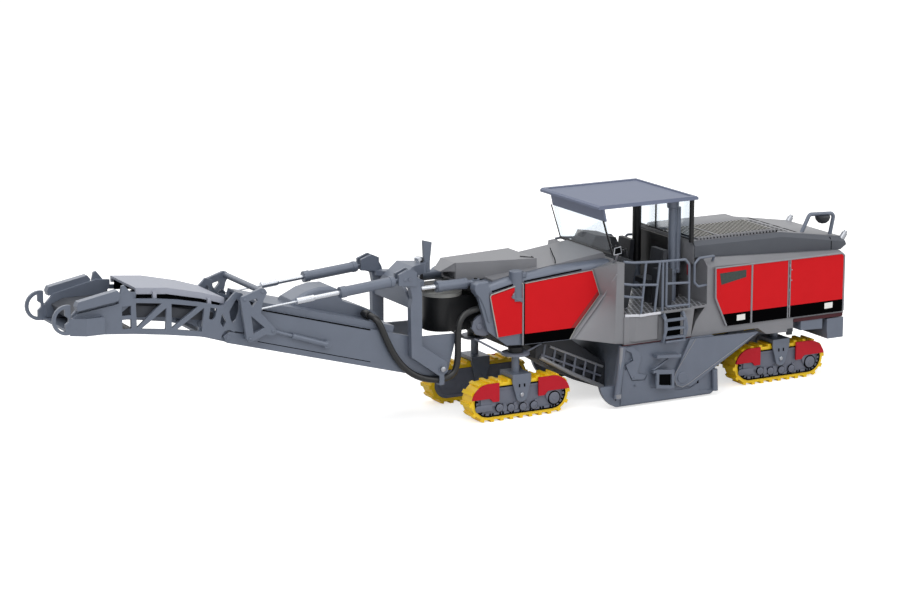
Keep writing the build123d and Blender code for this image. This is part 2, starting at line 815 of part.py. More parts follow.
# Height of the hood's falling tail at a station
def hood_line(station):
    (a, za), (b, zb) = hood_outline[2:4]
    return za + (zb - za) * (station - a) / (b - a)


# Grab loop on the tail
with BuildPart() as grab_loop:
    tube([(-132.0, 14.5, hood_line(-132.0) - 0.8), (-136.0, 14.5, loop_top), (-148.0, 14.5, loop_top - 0.6),
          (-146.0, 14.5, hood_line(-146.0) - 0.8)], loop_radius, 1.6)
    with BuildSketch(side(2 * hood_half)):
        Polygon(hood_outline[2], hood_outline[3], (hood_outline[3][0], 50), (hood_break, 50), align=None)
    extrude(amount=4 * hood_half, mode=Mode.SUBTRACT)
grab_loop.part.label = "grab_loop"
export_step(grab_loop.part, "parts/grab_loop.step")

# Mesh deck of the platform, wider beside the steps
with BuildPart() as platform_deck:
    with BuildSketch(level(deck_height - deck_thickness)):
        with BuildLine():
            edge = [(cowl_rear - skirt_wall, wide_half), (nose_step, deck_half - 0.4), (nose_step, deck_half),
                    (nose_step - 3.0, deck_half), (nose_step - 3.0, deck_half - 0.4), (deck_step_rear, deck_half - 0.5),
                    (deck_step_rear, ladder_half), (deck_step_rear - 13.6, ladder_half),
                    (deck_step_rear - 13.6, skirt_half), (recess_rear + 0.9, skirt_half)]
            Polyline(*edge, *[(x, -y) for x, y in reversed(edge)], close=True)
        make_face()
    extrude(amount=deck_thickness)
platform_deck.part.label = "platform_deck"
export_step(platform_deck.part, "parts/platform_deck.step")

# Rails: top rail with slanted posts beside the platform, a gate frame over the ladder and a loop behind it
rail_routes = [
    [(cowl_rear - 0.5, 25.2, 57.6), (-45.0, rail_out, 57.3), (-57.0, rail_out, 56.5), (-68.8, rail_out, 56.2),
     (-70.6, rail_out, 54.0), (-70.8, rail_out, deck_height)],
    [(-48.9, rail_out, deck_height - 0.5), (-50.9, rail_out, 56.9)],
    [(-55.0, rail_out, deck_height - 0.5), (-57.2, rail_out, 56.4)],
    [(-58.6, rail_out, deck_height), (-58.6, rail_out, 56.4)],
    [(cowl_rear - 0.5, 25.2, 49.0), (-45.0, rail_out, 48.6), (-56.2, rail_out, 47.5)],
    [(cowl_rear - 0.5, 25.2, 44.2), (-45.0, rail_out, 43.8), (-49.6, rail_out, 43.2)],
    [(-60.3, rail_out, 56.3), (-60.3, rail_out, 38.4), (-70.7, rail_out, 38.2)],
    [(-60.3, rail_out, 47.5), (-70.6, rail_out, 46.9)],
    [(recess_rear - 0.5, 24.4, 44.4), (-75.6, 26.2, 44.6), (-73.8, 26.2, 46.4), (-73.8, 26.2, 53.8), (-76.0, 26.2, 55.8),
     (-84.0, 24.6, 55.6), (-84.0, 23.4, 53.6)],
]
with BuildPart() as railings:
    for route in rail_routes:
        tube(route, rail_radius, 0.9)
    with BuildSketch(side(2 * deck_half)):
        Polygon((0, 0), (0, 80), (cowl_rear - 1, 80), (cowl_rear - 1, deck_height), (recess_rear, deck_height),
                (recess_rear, 50), (2 * recess_rear, 50), (2 * recess_rear, 0), align=None)
    extrude(amount=4 * deck_half, mode=Mode.SUBTRACT)
    mirror(about=Plane.XZ)
railings.part.label = "railings"
export_step(railings.part, "parts/railings.step")

# Ladders below the deck's gap and the folding steps lower down
with BuildPart() as ladders:
    for station in (ladder_front, ladder_rear):
        tube([(station, skirt_half + 0.5, deck_height - deck_thickness - 0.6),
              (station, ladder_out, deck_height - 3.0),
              (station, ladder_out, ladder_low + 2.0),
              (station, skirt_half + 0.5, ladder_low)], rail_radius, 1.2)
    for k in range(3):
        height = ladder_low + 2.0 + k * 3.4
        plate([(ladder_front, height - 0.4), (ladder_front, height + 0.4),
               (ladder_rear, height + 0.4), (ladder_rear, height - 0.4)], ladder_out - 1.0, ladder_out + 0.5)
    plate([(-55.0, 19.0), (-66.0, 18.2), (-66.0, 19.4), (-55.0, 20.2)], side_plate_half, side_plate_half + 3.4)
    plate([(-55.0, 14.4), (-55.0, 7.0), (-63.2, 6.0), (-63.2, 13.6)], side_plate_half + 2.2, side_plate_half + 3.2)
    plate([(-53.6, 13.2), (-56.4, 13.4), (-56.4, 14.4), (-53.6, 14.2)], side_plate_half, side_plate_half + 3.2)
    plate([(-53.2, 14.4), (-60.6, 18.0), (-60.6, 18.6), (-62.0, 18.6), (-54.8, 14.4)], side_plate_half + 1.6, side_plate_half + 2.6)
    with BuildSketch(side(side_plate_half + 3.2)):
        Polygon((-56.2, 12.6), (-56.2, 8.2), (-62.0, 7.4), (-62.0, 12.0), align=None)
    extrude(amount=1.0, mode=Mode.SUBTRACT)
    mirror(about=Plane.XZ)
ladders.part.label = "ladders"
export_step(ladders.part, "parts/ladders.step")

# Consoles and the two seats on the platform
# columns: right and left face, height of the top over the deck, rear station of the top
console_blocks = [
    (-17.0, -3.0, 25.4, -56.0),
    (4.0, 16.0, 20.0, -52.0),
]
with BuildPart() as consoles:
    for low, high, rise, rear in console_blocks:
        top = deck_height + rise
        plate([(console_front, top - 4.0), (console_front - 2.4, top), (rear, top - 1.6), (rear - 1.4, top - 4.4),
               (rear + 2.0, deck_height), (console_front, deck_height)], low, high)
    for hand in (-1, 1):
        with BuildSketch(across(-66.0)):
            with Locations((hand * 20.0, (deck_height + 52) / 2)):
                Rectangle(5.0, 52 - deck_height)
        extrude(amount=6.0)
consoles.part.label = "consoles"
export_step(consoles.part, "parts/consoles.step")

with BuildPart() as seats:
    for low, high in ((-16.5, -7.5), (7.5, 16.5)):
        plate([(-61.0, deck_height), (-64.6, deck_height), (-64.6, seat_height - 2), (-61.0, seat_height - 2)],
              (low + high) / 2 - 1.6, (low + high) / 2 + 1.6)
        plate([(-58.6, seat_height - 2), (-58.6, seat_height), (-64.4, seat_height), (-65.8, seat_height + 11),
               (-67.6, seat_height + 11), (-66.6, seat_height - 2)], low, high)
seats.part.label = "seats"
export_step(seats.part, "parts/seats.step")

# Canopy: posts, roof with its front fascia, and the glass
with BuildPart() as canopy_posts:
    for gauge in (-post_half_gauge, post_half_gauge):
        with BuildSketch(level(deck_height)):
            with Locations((post_station, gauge)):
                Circle(post_radius)
        extrude(amount=roof_top - roof_thickness - deck_height)
    for hand in (-1, 1):
        with BuildSketch(level(rear_shelf + 0.2 + 6.1)):
            with Locations((corner_post_station, hand * corner_post_half)):
                Rectangle(post_bar, post_bar)
        extrude(amount=roof_top - roof_thickness - rear_shelf - 6.3)
canopy_posts.part.label = "canopy_posts"
export_step(canopy_posts.part, "parts/canopy_posts.step")

with BuildPart() as canopy_roof:
    plate([(roof_front, roof_top - 0.6), (roof_front - 0.8, roof_top), (roof_rear + 0.8, roof_top),
           (roof_rear, roof_top - 0.6), (roof_rear, roof_top - roof_thickness),
           (roof_front, roof_top - roof_thickness)], -roof_half, roof_half)
    with BuildSketch(level(roof_top - 0.35)):
        with Locations(((roof_front + roof_rear) / 2, 0)):
            Rectangle(roof_front - roof_rear - 4.0, 2 * roof_half - 3.6)
    extrude(amount=1, mode=Mode.SUBTRACT)
    plate([(screen_top_station + 0.4, roof_top - roof_thickness), (screen_top_station - 0.5, roof_top - roof_thickness),
           (screen_top_station - 1.7, fascia_low), (screen_top_station - 0.8, fascia_low)], -screen_half, screen_half)
canopy_roof.part.label = "canopy_roof"
export_step(canopy_roof.part, "parts/canopy_roof.step")

with BuildPart() as canopy_glass:
    plate([(screen_top_station - 0.9, fascia_low - 0.05), (screen_top_station - 1.4, fascia_low - 0.05),
           (screen_low_station - 0.5, screen_low), (screen_low_station, screen_low)], -screen_half, screen_half)
    plate([(corner_post_station + glass_thickness / 2, rear_glass_low), (corner_post_station + glass_thickness / 2,
           roof_top - roof_thickness), (corner_post_station - glass_thickness / 2, roof_top - roof_thickness),
           (corner_post_station - glass_thickness / 2, rear_glass_low)], -corner_post_half + post_bar / 2,
          corner_post_half - post_bar / 2)
canopy_glass.part.label = "canopy_glass"
export_step(canopy_glass.part, "parts/canopy_glass.step")

# Drum housing, open below and towards the loading conveyor
with BuildPart() as drum_housing:
    plate([(housing_front, skirt_bottom - 0.5), (housing_rear, skirt_bottom - 0.5), (housing_rear, housing_low),
           (housing_front, housing_low)], -housing_half, housing_half)
    with BuildSketch(side(housing_half - housing_wall)):
        Polygon((housing_front - housing_wall, skirt_bottom - 2.4), (housing_rear + housing_wall, skirt_bottom - 2.4),
                (housing_rear + housing_wall, 0), (housing_front - housing_wall, 0), align=None)
    extrude(amount=2 * (housing_half - housing_wall), mode=Mode.SUBTRACT)
    disc((drum_station, drum_height), shaft_radius + shaft_fit, -housing_half, housing_half, mode=Mode.SUBTRACT)
drum_housing.part.label = "drum_housing"
export_step(drum_housing.part, "parts/drum_housing.step")

# Milling drum with its picks in opposed spirals
with BuildPart() as milling_drum:
    disc((drum_station, drum_height), drum_core, -drum_half, drum_half)
    disc((drum_station, drum_height), shaft_radius, -housing_half, housing_half)
    picks = []
    for row in range(tooth_rows):
        offset = -drum_half + 1.6 + row * (2 * drum_half - 3.2) / (tooth_rows - 1)
        for k in range(teeth_per_row):
            turn = k * 360 / teeth_per_row + 24 * abs(row - (tooth_rows - 1) / 2)
            angle = math.radians(turn)
            reach = drum_core + tooth_reach / 2 - 0.2
            picks.append(Location((x0 + drum_station + reach * math.sin(angle), offset,
                                   drum_height + reach * math.cos(angle)), (0, turn, 0)))
    with Locations(*picks):
        Box(1.3, 1.2, tooth_reach + 0.4)
milling_drum.part.label = "milling_drum"
export_step(milling_drum.part, "parts/milling_drum.step")

# Side plates of the drum housing with their skids and guide cylinders
with BuildPart() as side_plates:
    with BuildSketch(side(side_plate_half)):
        with BuildLine():
            Polyline((-38.7, side_plate_low), (-82.2, side_plate_low), (-84.4, 2.6), (-84.4, 8.0), (-83.0, 20.0),
                     (-83.0, skirt_bottom - 0.5), (-40.5, skirt_bottom - 0.5), (-38.0, 9.5), (-31.4, 9.5))
            ThreePointArc((-31.4, 9.5), (-34.3, 3.9), (-38.7, side_plate_low))
        make_face()
    extrude(amount=side_plate_wall)
    plate([(-40.6, 4.4), (-41.6, 15.4), (-43.6, 15.4), (-45.4, 10.6), (-51.4, 10.2), (-52.6, 12.2), (-54.2, 6.8), (-63.0, 5.8),
           (-66.0, 4.4), (-72.0, 4.4), (-76.4, 6.2), (-76.4, 3.0), (-81.6, 2.6), (-81.6, side_plate_low + 0.6),
           (-40.6, side_plate_low + 0.6)], side_plate_half, side_plate_half + panel_proud)
    plate([(-41.8, 24.3), (-45.2, 24.3), (-49.0, 21.4), (-49.1, 18.3), (-47.6, 13.5), (-51.6, 12.4), (-50.8, 10.8),
           (-45.4, 11.2), (-43.2, 15.6), (-42.4, 17.3), (-45.7, 18.7), (-44.9, 21.8), (-42.4, 23.2)],
          side_plate_half, side_plate_half + bracket_proud)
    rod((-40.6, 25.0), (-38.2, 4.6), side_plate_half + guide_radius, guide_radius)
    rod((-83.2, 11.0), (-83.6, 2.4), side_plate_half + 1.1, 1.1)
    mirror(about=Plane.XZ)
side_plates.part.label = "side_plates"
export_step(side_plates.part, "parts/side_plates.step")

# Slanted carrier plates that reach from the rear body down to the drum axle
with BuildPart() as support_arms:
    with BuildSketch(side(side_plate_half + arm_wall)):
        Polygon((-71.4, 24.3), (-103.6, 23.6), (-95.4, 18.6), (-72.0, 5.4), (-64.6, 8.2), (-65.0, 11.4), align=None)
        with Locations((arm_eye[0], arm_eye[1])):
            Circle(arm_eye_radius)
    extrude(amount=arm_wall)
    mirror(about=Plane.XZ)
support_arms.part.label = "support_arms"
export_step(support_arms.part, "parts/support_arms.step")

# Height of the rear body's lower edge at a station
def rear_skirt(station):
    (a, za), (b, zb) = rear_outline[2:4]
    return za + (zb - za) * (station - a) / (b - a)


# Rear beam and the boxes under the rear body
with BuildPart() as rear_beam:
    plate([(-138.0, 24.6), (rear_end, 24.6), (rear_end, 16.4), (-138.4, 16.4), (-138.0, 20.0)], -25.6, 25.6)
    for hand in (-1, 1):
        low, high = sorted((hand * 18.6, hand * 25.2))
        plate([(-125.5, rear_skirt(-125.5)), (-136.0, rear_skirt(-136.0)), (-136.0, 20.8), (-125.5, 21.2)], low, high)
rear_beam.part.label = "rear_beam"
export_step(rear_beam.part, "parts/rear_beam.step")

# Loading conveyor: ribbed trough rising from the drum housing under the body
with BuildPart() as loading_conveyor:
    with BuildSketch(side(loader_half)):
        Polygon((housing_front + 0.3, 4.6), (-28.0, 10.0), (-11.2, 20.4), (-11.2, 24.2), (-15.2, 26.6), (-26.0, 26.8),
                (housing_front + 0.3, 15.0), align=None)
    extrude(amount=2 * loader_half)
    with BuildSketch(side(loader_half)):
        for k in range(4):
            with Locations(Location((-20.0 - k * 6.0, 19.0 - k * 3.1), 28)):
                Rectangle(4.4, 4.4)
    extrude(amount=1.4, mode=Mode.SUBTRACT)
    with BuildSketch(side(-loader_half + 1.4)):
        for k in range(4):
            with Locations(Location((-20.0 - k * 6.0, 19.0 - k * 3.1), 28)):
                Rectangle(4.4, 4.4)
    extrude(amount=1.4, mode=Mode.SUBTRACT)
loading_conveyor.part.label = "loading_conveyor"
export_step(loading_conveyor.part, "parts/loading_conveyor.step")

# Steering links: flange around each front leg and the thin rods between them
flange_low = front_column_top - collar_height - 0.9
with BuildPart() as steering_links:
    for hand in (-1, 1):
        with BuildSketch(level(flange_low)):
            with Locations((0, hand * leg_half_gauge)):
                Circle(flange_radius)
                Circle(column_radius + column_fit, mode=Mode.SUBTRACT)
        extrude(amount=0.8)
        tube([(flange_radius - 0.6, hand * leg_half_gauge, flange_low + 0.4), (16.4, hand * 13.4, 31.6)], 0.4, 0)
        tube([(0.6 - flange_radius, hand * leg_half_gauge, flange_low + 0.4), (-12.0, hand * 14.6, 26.7)], 0.4, 0)
steering_links.part.label = "steering_links"
export_step(steering_links.part, "parts/steering_links.step")

# Turret that carries the slewing frame, with its ring, nose brackets and king pin ears
with BuildPart() as turret:
    with BuildSketch(level(turret_low)):
        with Locations((turret_station, 0)):
            Circle(turret_radius)
    extrude(amount=turret_top - turret_low)
    plate([(block_front, turret_low), (turret_station, turret_low), (turret_station, turret_top), (block_front, turret_top)],
          -turret_radius, turret_radius)
    bracket_top = bracket_low + bracket_wall
    plate([(block_front, bracket_low), (bracket_reach, bracket_low), (bracket_reach, bracket_top),
           (block_front, bracket_top)], -bracket_half, bracket_half)
    plate([(block_front, turret_top), (block_front + bracket_wall, turret_top),
           (block_front + bracket_wall, bracket_low), (block_front, bracket_low)], -turret_radius, turret_radius)
    plate([(block_front, ear_low), (slew_station, ear_low), (slew_station, ear_low + ear_wall),
           (block_front, ear_low + ear_wall)], -ear_half, ear_half)
    with BuildSketch(level(ear_low)):
        with Locations((slew_station, 0)):
            Circle(ear_half)
    extrude(amount=ear_wall)
    with BuildSketch(level(ear_low)):
        with Locations((slew_station, 0)):
            Circle(king_radius)
    extrude(amount=king_top - ear_low)
    for hand in (-1, 1):
        low, high = sorted((hand * nose_lug_inner, hand * (nose_lug_inner + 2.4)))
        plate([(block_front, 42.0), (18.6, 38.6), (18.0, 34.4), (block_front, 32.4)], low, high)
        with BuildSketch(level(bracket_low)):
            with Locations((slew_foot[0], hand * slew_half_gauge)):
                Circle(foot_pin_radius)
        extrude(amount=slew_foot[1] + foot_half + 0.4 - bracket_low)
turret.part.label = "turret"
export_step(turret.part, "parts/turret.step")

with BuildPart() as turret_ring:
    with BuildSketch(level(turret_top)):
        with Locations((turret_station, 0)):
            Circle(ring_radius)
    extrude(amount=ring_thickness)
turret_ring.part.label = "turret_ring"
export_step(turret_ring.part, "parts/turret_ring.step")

# Slewing frame: two legs with clevises, the cross beam, the king pin lug and the upright flag
with BuildPart() as slew_frame:
    leg_outline = [
        (50.4, 56.6), (50.4, 60.6), (46.6, 62.2), (43.6, 60.8), (41.4, 57.0), (40.6, 52.0), (40.6, 32.2), (30.4, 25.2),
        (29.6, 21.4), (32.6, 19.4), (45.0, 28.4), (45.4, 47.6), (44.6, 50.6), (45.6, 55.0),
    ]
    plate(leg_outline, yoke_inner, yoke_inner + yoke_wall)
    clevis_inner = lift_half_gauge - lift_eye_half - clevis_gap - clevis_wall
    clevis_outer = lift_half_gauge + lift_eye_half + clevis_gap + clevis_wall
    plate([(43.0, 55.4), (50.6, 56.4), (50.6, 60.6), (46.0, 62.2), (43.0, 60.8)], clevis_inner, clevis_outer)
    with BuildSketch(side(lift_half_gauge + lift_eye_half + clevis_gap)):
        with Locations(lift_foot):
            Circle(lift_eye_radius + clevis_gap)
        Polygon((46.1, 50.0), (60.0, 50.0), (60.0, 70.0), (46.1, 70.0), align=None)
    extrude(amount=2 * (lift_eye_half + clevis_gap), mode=Mode.SUBTRACT)
    disc(lift_foot, lift_foot_pin, clevis_inner, clevis_outer + pin_proud)
    disc(boom_pivot, lift_pin_radius, boom_half - boom_wall - pin_engage, yoke_inner + yoke_wall + pin_proud)
    mirror(about=Plane.XZ)
    with BuildSketch(across(web_front - web_wall)):
        Polygon((-yoke_inner, 46.8), (yoke_inner, 46.8), (yoke_inner, 49.8), (web_half, web_top), (-web_half, web_top),
                (-yoke_inner, 49.8), align=None)
    extrude(amount=web_wall)
    plate([(web_front - web_wall, web_top), (web_front - web_wall, web_top - 3.0), (web_front, web_top - 3.0),
           (web_front, web_top), (king_gusset, king_lug_low + king_lug_height), (king_gusset - 2.0, king_lug_low)],
          -web_half, web_half)
    with BuildSketch(level(king_lug_low)):
        Polygon((king_gusset, -web_half), (slew_station, -king_lug_half), (slew_station, king_lug_half),
                (king_gusset, web_half), align=None)
        with Locations((slew_station, 0)):
            Circle(king_lug_half)
            Circle(king_radius + king_fit, mode=Mode.SUBTRACT)
    extrude(amount=king_lug_height)
    for hand in (-1, 1):
        with BuildSketch(level(slew_eye[1] + eye_half + eye_gap)):
            Polygon((slew_eye[0] - 2.0, hand * 8.4), (slew_eye[0] - 2.0, hand * 11.8), (41.6, hand * yoke_inner),
                    (44.8, hand * yoke_inner), (44.8, hand * 12.4), (slew_eye[0] + 1.6, hand * 8.4), align=None)
        extrude(amount=1.8)
        with BuildSketch(level(slew_eye[1] - eye_half)):
            with Locations((slew_eye[0], hand * slew_half_gauge)):
                Circle(eye_pin_radius)
        extrude(amount=2 * eye_half + eye_gap)
    plate([(28.6, king_lug_low + king_lug_height), (31.0, king_lug_low + king_lug_height), (31.4, flag_top), (27.8, flag_top - 1)],
          -flag_wall / 2, flag_wall / 2)
    plate([(28.6, king_lug_low), (28.6, king_lug_low + king_lug_height), (slew_station - 1.2, king_lug_low + king_lug_height),
           (slew_station - 1.2, king_lug_low)], -flag_wall / 2, flag_wall / 2)
    plate([(clip_rear, clip_top), (clip_front, clip_top), (clip_front, clip_low), (clip_rear, clip_low)],
          hose_gauge + hose_radius + hose_fit, yoke_inner + yoke_wall)
    plate([(clip_rear, hose_low - hose_radius - hose_fit), (clip_front, hose_low - hose_radius - hose_fit),
           (clip_front, clip_low), (clip_rear, clip_low)], yoke_inner, yoke_inner + yoke_wall)
slew_frame.part.label = "slew_frame"
export_step(slew_frame.part, "parts/slew_frame.step")

# Slewing cylinders, left and right: barrel on the nose, rod to the slewing frame
for label, hand in (("left", 1), ("right", -1)):
    gauge = hand * slew_half_gauge
    foot = Vector(*slew_foot)
    line = Vector(*slew_eye) - foot
    unit = line.normalized()


    def on_slew(distance):
        spot = foot + unit * distance
        return (spot.X, spot.Y)


    with BuildPart() as slew_barrel:
        rod(on_slew(slew_barrel_start), on_slew(slew_barrel_end), gauge, slew_barrel_radius)
        rod(on_slew(0), on_slew(slew_barrel_start), gauge, 1.1)
        with BuildSketch(level(slew_foot[1] - foot_half)):
            with Locations((slew_foot[0], gauge)):
                Circle(foot_eye_radius)
        extrude(amount=2 * foot_half)
        with BuildSketch(level(slew_foot[1] - 2 * foot_half)):
            with Locations((slew_foot[0], gauge)):
                Circle(foot_pin_radius + pin_fit)
        extrude(amount=4 * foot_half, mode=Mode.SUBTRACT)
        bore_from = Vector(x0 + on_slew(slew_bore_start)[0], gauge, on_slew(slew_bore_start)[1])
        with BuildSketch(Plane(origin=bore_from, z_dir=(unit.X, 0, unit.Y))):
            Circle(slew_rod_radius + slew_rod_fit)
        extrude(amount=slew_barrel_end - slew_bore_start, mode=Mode.SUBTRACT)
    slew_barrel.part.label = f"slew_barrel_{label}"
    export_step(slew_barrel.part, f"parts/slew_barrel_{label}.step")

    with BuildPart() as slew_rod:
        rod(on_slew(slew_rod_start), on_slew(line.length - 1.4), gauge, slew_rod_radius)
        with BuildSketch(level(slew_eye[1] - eye_half)):
            with Locations((slew_eye[0], gauge)):
                Circle(eye_radius)
                Circle(eye_bore, mode=Mode.SUBTRACT)
        extrude(amount=2 * eye_half)
    slew_rod.part.label = f"slew_rod_{label}"
    export_step(slew_rod.part, f"parts/slew_rod_{label}.step")

# Lift cylinders, both sides together: barrels on the slewing frame, rods to the knee plates
lift_foot_at = Vector(*lift_foot)
lift_line = Vector(*lift_eye) - lift_foot_at
lift_unit = lift_line.normalized()


def on_lift(distance):
    spot = lift_foot_at + lift_unit * distance
    return (spot.X, spot.Y)


with BuildPart() as lift_barrels:
    rod(on_lift(lift_barrel_start), on_lift(lift_barrel_end), lift_half_gauge, lift_barrel_radius)
    rod(on_lift(0), on_lift(lift_barrel_start), lift_half_gauge, lift_neck_radius)
    disc(lift_foot, lift_eye_radius, lift_half_gauge - lift_eye_half, lift_half_gauge + lift_eye_half)
    disc(lift_foot, lift_foot_pin + pin_fit, 0, 2 * lift_half_gauge, mode=Mode.SUBTRACT)
    mouth = Vector(x0 + on_lift(lift_bore_start)[0], lift_half_gauge, on_lift(lift_bore_start)[1])
    with BuildSketch(Plane(origin=mouth, z_dir=(lift_unit.X, 0, lift_unit.Y))):
        Circle(lift_rod_radius + lift_rod_fit)
    extrude(amount=lift_barrel_end - lift_bore_start, mode=Mode.SUBTRACT)
    mirror(about=Plane.XZ)
lift_barrels.part.label = "lift_barrels"
export_step(lift_barrels.part, "parts/lift_barrels.step")

lift_length = lift_line.length
with BuildPart() as lift_rods:
    rod(on_lift(lift_rod_start), on_lift(lift_clevis_end), lift_half_gauge, lift_rod_radius)
    rod(on_lift(lift_clevis_start), on_lift(lift_clevis_end), lift_half_gauge, lift_rod_radius + 0.35)
    rod(on_lift(lift_clevis_end), on_lift(lift_length - hook_bore), lift_half_gauge, wire_radius)
    disc(lift_eye, hook_bore + 2 * wire_radius, lift_half_gauge - wire_radius, lift_half_gauge + wire_radius)
    disc(lift_eye, hook_bore, 0, 2 * lift_half_gauge, mode=Mode.SUBTRACT)
    mirror(about=Plane.XZ)
lift_rods.part.label = "lift_rods"
export_step(lift_rods.part, "parts/lift_rods.step")

# Rear section of the conveyor: trough with a raised cover and the humped chute on it
pitch = math.radians(boom_pitch)


# A point given along and across the rear section, as station and height
def on_boom(along, over):
    return (boom_pivot[0] + along * math.cos(pitch) - over * math.sin(pitch),
            boom_pivot[1] + along * math.sin(pitch) + over * math.cos(pitch))


def boom_plate(points, inner, outer):
    plate([on_boom(*point) for point in points], inner, outer)


fold_pivot = on_boom(fold_along, fold_across)

# Hump over the belt, made on its own so that its edges can be rounded
hump_foot = [on_boom(24.0, boom_high + cover_rise - 0.4), on_boom(62.4, boom_high + cover_rise - 0.4)]
hump_line = [(88.4, 52.6), (82.4, 55.4), (77.4, 56.4), (72.4, 56.2), (69.6, 54.8), (68.2, 50.4), (60.4, 47.4), (54.4, 44.6)]
with BuildPart() as hump:
    plate([hump_foot[0], hump_foot[1], *hump_line], -hump_half, hump_half)
    crest = [e for e in hump.edges() if abs(abs(e.center().Y) - hump_half) < 0.01 and e.center().Z > 46.0]
    rim = [e for e in crest if 71.0 < e.center().X - x0 < 86.0]
    fillet(rim, radius=1.6)

with BuildPart() as rear_boom:
    boom_side = [
        (boom_tail, boom_low + 1.2), (boom_tail + 2.0, boom_low), (boom_end, boom_low), (fold_along, boom_low),
        (fold_along + 2.0, fold_across), (fold_along, fold_across + 2.1), (wall_end, fold_across + 2.1),
        (wall_end + 1.7, boom_high), (12.0, boom_high), (boom_tail, boom_high + hopper_rise - 2.0),
    ]
    boom_plate(boom_side, boom_half - boom_wall, boom_half)
    disc(boom_pivot, lift_pin_radius + lift_pin_fit, 0, 2 * boom_half, mode=Mode.SUBTRACT)
    disc(fold_pivot, fold_pin_radius, boom_half - boom_wall - fold_engage, boom_half + pin_proud)
    mirror(about=Plane.XZ)
    boom_plate([(boom_tail + 2.0, boom_low), (boom_end, boom_low), (boom_end, boom_low + boom_wall),
                (boom_tail + 2.0, boom_low + boom_wall)], boom_wall - boom_half, boom_half - boom_wall)
    for hand in (-1, 1):
        low, high = sorted((hand * (boom_half - boom_wall), hand * (boom_half - boom_wall - 2.2)))
        boom_plate([(cover_start, boom_high - 1.0), (cover_end, boom_high - 1.0), (cover_end, boom_high + cover_rise),
                    (cover_start, boom_high + cover_rise)], low, high)
    boom_plate([(cover_start, boom_high + cover_rise - 1.0), (cover_end, boom_high + cover_rise - 1.0),
                (cover_end, boom_high + cover_rise), (cover_start, boom_high + cover_rise)],
               boom_wall + 2.2 - boom_half, boom_half - boom_wall - 2.2)
    add(hump.part)
rear_boom.part.label = "rear_boom"
export_step(rear_boom.part, "parts/rear_boom.step")

# Knee plates with the cross tube and the moulded fold cylinders beside them
knee_rear = (101.8, 44.9)
knee_low = (110.6, 43.5)
knee_top = (105.4, 59.9)
knee_outline = [
    (104.0, 59.6), (104.8, 61.0), (106.3, 61.4), (113.8, 59.0), (114.5, 57.8), (112.4, 43.4), (111.6, 42.2), (110.4, 42.0),
    (104.6, 44.2), (102.6, 43.5), (101.0, 43.7), (100.4, 44.9), (101.2, 46.2), (106.6, 52.4), (105.4, 57.2),
]
knee_windows = [
    [(110.4, 51.6), (105.2, 46.8), (109.6, 45.0)],
    [(111.2, 57.2), (108.2, 57.9), (107.8, 57.0), (109.8, 54.8)],
]
with BuildPart() as knee_plates:
    with BuildSketch(side(knee_inner + knee_wall)):
        Polygon(*knee_outline, align=None)
        for window in knee_windows:
            Polygon(*window, align=None, mode=Mode.SUBTRACT)
    extrude(amount=knee_wall)
    disc(knee_low, 1.3, boom_half, knee_inner)
    disc(knee_rear, 1.3, boom_half, knee_inner)
    disc(lift_eye, hook_pin_radius, lift_half_gauge - wire_radius - 0.2, knee_inner)
    mirror(about=Plane.XZ)
    disc(knee_top, 1.1, -knee_inner, knee_inner)
knee_plates.part.label = "knee_plates"
export_step(knee_plates.part, "parts/knee_plates.step")

fold_foot = on_boom(49.0, 1.4)
with BuildPart() as fold_cylinders:
    toward = Vector(*knee_rear) - Vector(*fold_foot)
    fold_unit = toward.normalized()
    spots = [Vector(*fold_foot) + fold_unit * d for d in (0.0, toward.length * 0.62, toward.length - 1.4)]
    gauge = boom_half + fold_cylinder_radius + 0.1
    rod((spots[0].X, spots[0].Y), (spots[1].X, spots[1].Y), gauge, fold_cylinder_radius)
    rod((spots[1].X, spots[1].Y), (spots[2].X, spots[2].Y), gauge, 0.6)
    disc(fold_foot, 1.5, boom_half, boom_half + 1.6)
    mirror(about=Plane.XZ)
fold_cylinders.part.label = "fold_cylinders"
export_step(fold_cylinders.part, "parts/fold_cylinders.step")

